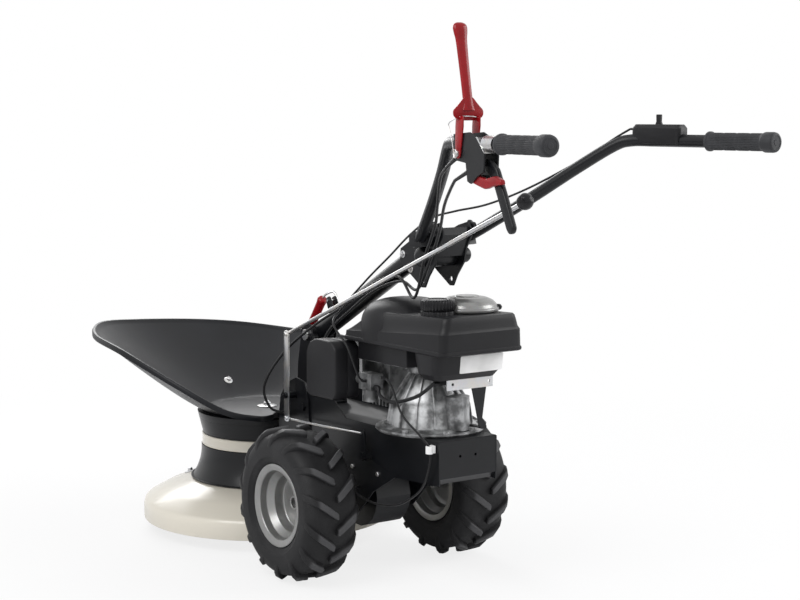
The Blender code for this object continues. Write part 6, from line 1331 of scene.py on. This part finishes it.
CABLES = {
    "throttle_cable": (
        (228.23, -1029.4, 958.5), (226.61, -1015.4, 958.5), (218, -985, 942), (183, -925, 898), (122, -835, 840),
        (70, -765, 805), (25, -715, 790), (-10, -680, 775), (-29, -630, 738), (-30, -560, 690), (-40, -490, 636),
        (-85, -455, 570), (-122, -482, 545), (-124, -538, 503), (-114, -562, 446), (-103, -565, 431),
        (-94.6, -565, 431),
    ),
    "clutch_cable": (
        (-233.09, -1106.26, 892), (-233, -1055, 870), (-210, -1010, 850), (-160, -925, 815), (-100, -830, 760),
        (-74, -765, 700), (-52, -690, 632), (-29, -600, 640), (-27, -500, 612), (-29, -400, 556), (-40, -330, 500),
        (-54, -318, 430), (-56, -325, 375), (-55, -330, 348), (-55, -330, 334.1),
    ),
    "brake_cable": (
        (-240.76, -1068.12, 910), (-233, -1030, 893), (-206, -975, 870), (-150, -890, 812), (-96, -810, 770),
        (-78, -750, 700), (-60, -690, 615), (-36, -600, 650), (-34, -500, 626), (-36, -400, 572), (-50, -310, 525),
        (-78, -238, 468), (-105, -200, 412), (-120, -188, 365), (-112, -200, 325), (-92, -214, 312), (-78.1, -214, 312),
    ),
    "stop_cable": (
        (-66, -583, 437), (-66, -596, 437), (-88, -650, 428), (-108, -715, 382), (-99, -765, 345), (-85, -778, 318),
        (-85, -775, 276), (-85, -750, 232), (-85, -700, 198), (-85, -654, 180), (-85, -584, 171), (-87, -525, 178),
        (-83, -506, 190), (-74.1, -505, 190),
    ),
    "fuel_hose": (
        (-50.3, -762, 447), (-63, -762, 447), (-78, -725, 418), (-90, -660, 398), (-88, -610, 403), (-82, -592, 418),
        (-82, -582.4, 418),
    ),
}
"""Routes of the cables and the hose from end to end."""

SPLITS = {
    "throttle_cable": (
        (0.2180, -0.985, 0.942), (-0.0290, -0.630, 0.738), (-0.0300, -0.560, 0.690), (-0.1220, -0.482, 0.545),
    ),
    "clutch_cable": (
        (-0.2100, -1.010, 0.850), (-0.0520, -0.690, 0.632), (-0.0290, -0.560, 0.630), (-0.0540, -0.318, 0.430),
    ),
    "brake_cable": (
        (-0.2060, -0.975, 0.870), (-0.0600, -0.690, 0.615), (-0.0360, -0.560, 0.640), (-0.0780, -0.238, 0.468),
    ),
}
"""Metres: where a cable leaves the bars, follows the column from and to, and starts to follow the chassis."""


class MOWER_OT_cables(bpy.types.Operator):
    """Sweep the control cables and the fuel hose along their routes"""

    bl_idname = "mower.cables"
    bl_label = "Cables"

    def execute(self, context):
        sizes = context.scene.mower_sizes
        radius = {
            "throttle_cable": sizes.thin_cable, "clutch_cable": sizes.cable, "brake_cable": sizes.cable,
            "stop_cable": sizes.thin_cable, "fuel_hose": sizes.hose,
        }
        for name, route in CABLES.items():
            line = np.concatenate([route[:1], curve_through(route[1:-1], 8), route[-1:]])
            thick = self.thickness(line, radius[name] * MM)
            if name in SPLITS:
                self.crossing(name, line, thick, SPLITS[name])
            else:
                self.sleeve(name, "_sleeve", line, thick, "chassis")
        return {"FINISHED"}

    def thickness(self, line, radius):
        """Radius along the line, with a ferrule half as thick again over the first and last 12 mm."""
        step = np.linalg.norm(np.diff(line, axis=0), axis=1)
        along = np.concatenate([[0.0], np.cumsum(step)])
        end = np.minimum(along, along[-1] - along)
        return radius * np.interp(end, [0, 12, 14], [1.45, 1.45, 1.0])

    def sleeve(self, name, ending, line, thick, body=None):
        """One length of cable."""
        return Shell().grid(swept(line, thick, 14)).build(name + ending, "cable_black", body, (name,), sharp=50.0)

    def crossing(self, name, line, thick, places):
        """Two lengths that meet on the column, cut where the line comes nearest the middle of its stretch along the
        column.
        """
        first, second, third, last = (np.array(place) for place in places)
        middle = (second + third) / 2.0
        cut = int(np.argmin(np.linalg.norm(line / MM - middle, axis=1)))
        upper = self.sleeve(name, "_upper", line[:cut + 1], thick[:cut + 1])
        lower = self.sleeve(name, "_lower", line[cut:], thick[cut:])
        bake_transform(upper)
        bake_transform(lower)


class MOWER_PT_panel(bpy.types.Panel):
    """Settings and pieces of the mower"""

    bl_label = "Drum Mower"
    bl_idname = "MOWER_PT_panel"
    bl_space_type = "VIEW_3D"
    bl_region_type = "UI"
    bl_category = "Mower"

    def draw(self, context):
        for group in (context.scene.mower_stage, context.scene.mower_sizes, context.scene.mower_colours):
            box = self.layout.box()
            for key in group.__annotations__:
                box.prop(group, key)
        for operator in OPERATORS:
            self.layout.operator(operator.bl_idname)


GROUPS = {"mower_colours": MOWER_PG_colours, "mower_sizes": MOWER_PG_sizes, "mower_stage": MOWER_PG_stage}
OPERATORS = [
    MOWER_OT_stage, MOWER_OT_cables, MOWER_OT_node_finishes, MOWER_OT_drum, MOWER_OT_neck, MOWER_OT_wheels,
    MOWER_OT_engine, MOWER_OT_column, MOWER_OT_bars,
]


def register():
    """Register the settings, the operators and the panel."""
    for name, group in GROUPS.items():
        bpy.utils.register_class(group)
        setattr(bpy.types.Scene, name, PointerProperty(type=group))
    for entry in (*OPERATORS, MOWER_PT_panel):
        bpy.utils.register_class(entry)


def unregister():
    """Take them all away again."""
    for entry in (MOWER_PT_panel, *reversed(OPERATORS)):
        bpy.utils.unregister_class(entry)
    for name, group in GROUPS.items():
        delattr(bpy.types.Scene, name)
        bpy.utils.unregister_class(group)


def main():
    """Run every operator in order and keep the sizes."""
    register()
    for operator in OPERATORS:
        group, name = operator.bl_idname.split(".")
        getattr(getattr(bpy.ops, group), name)()


if __name__ == "__main__":
    main()
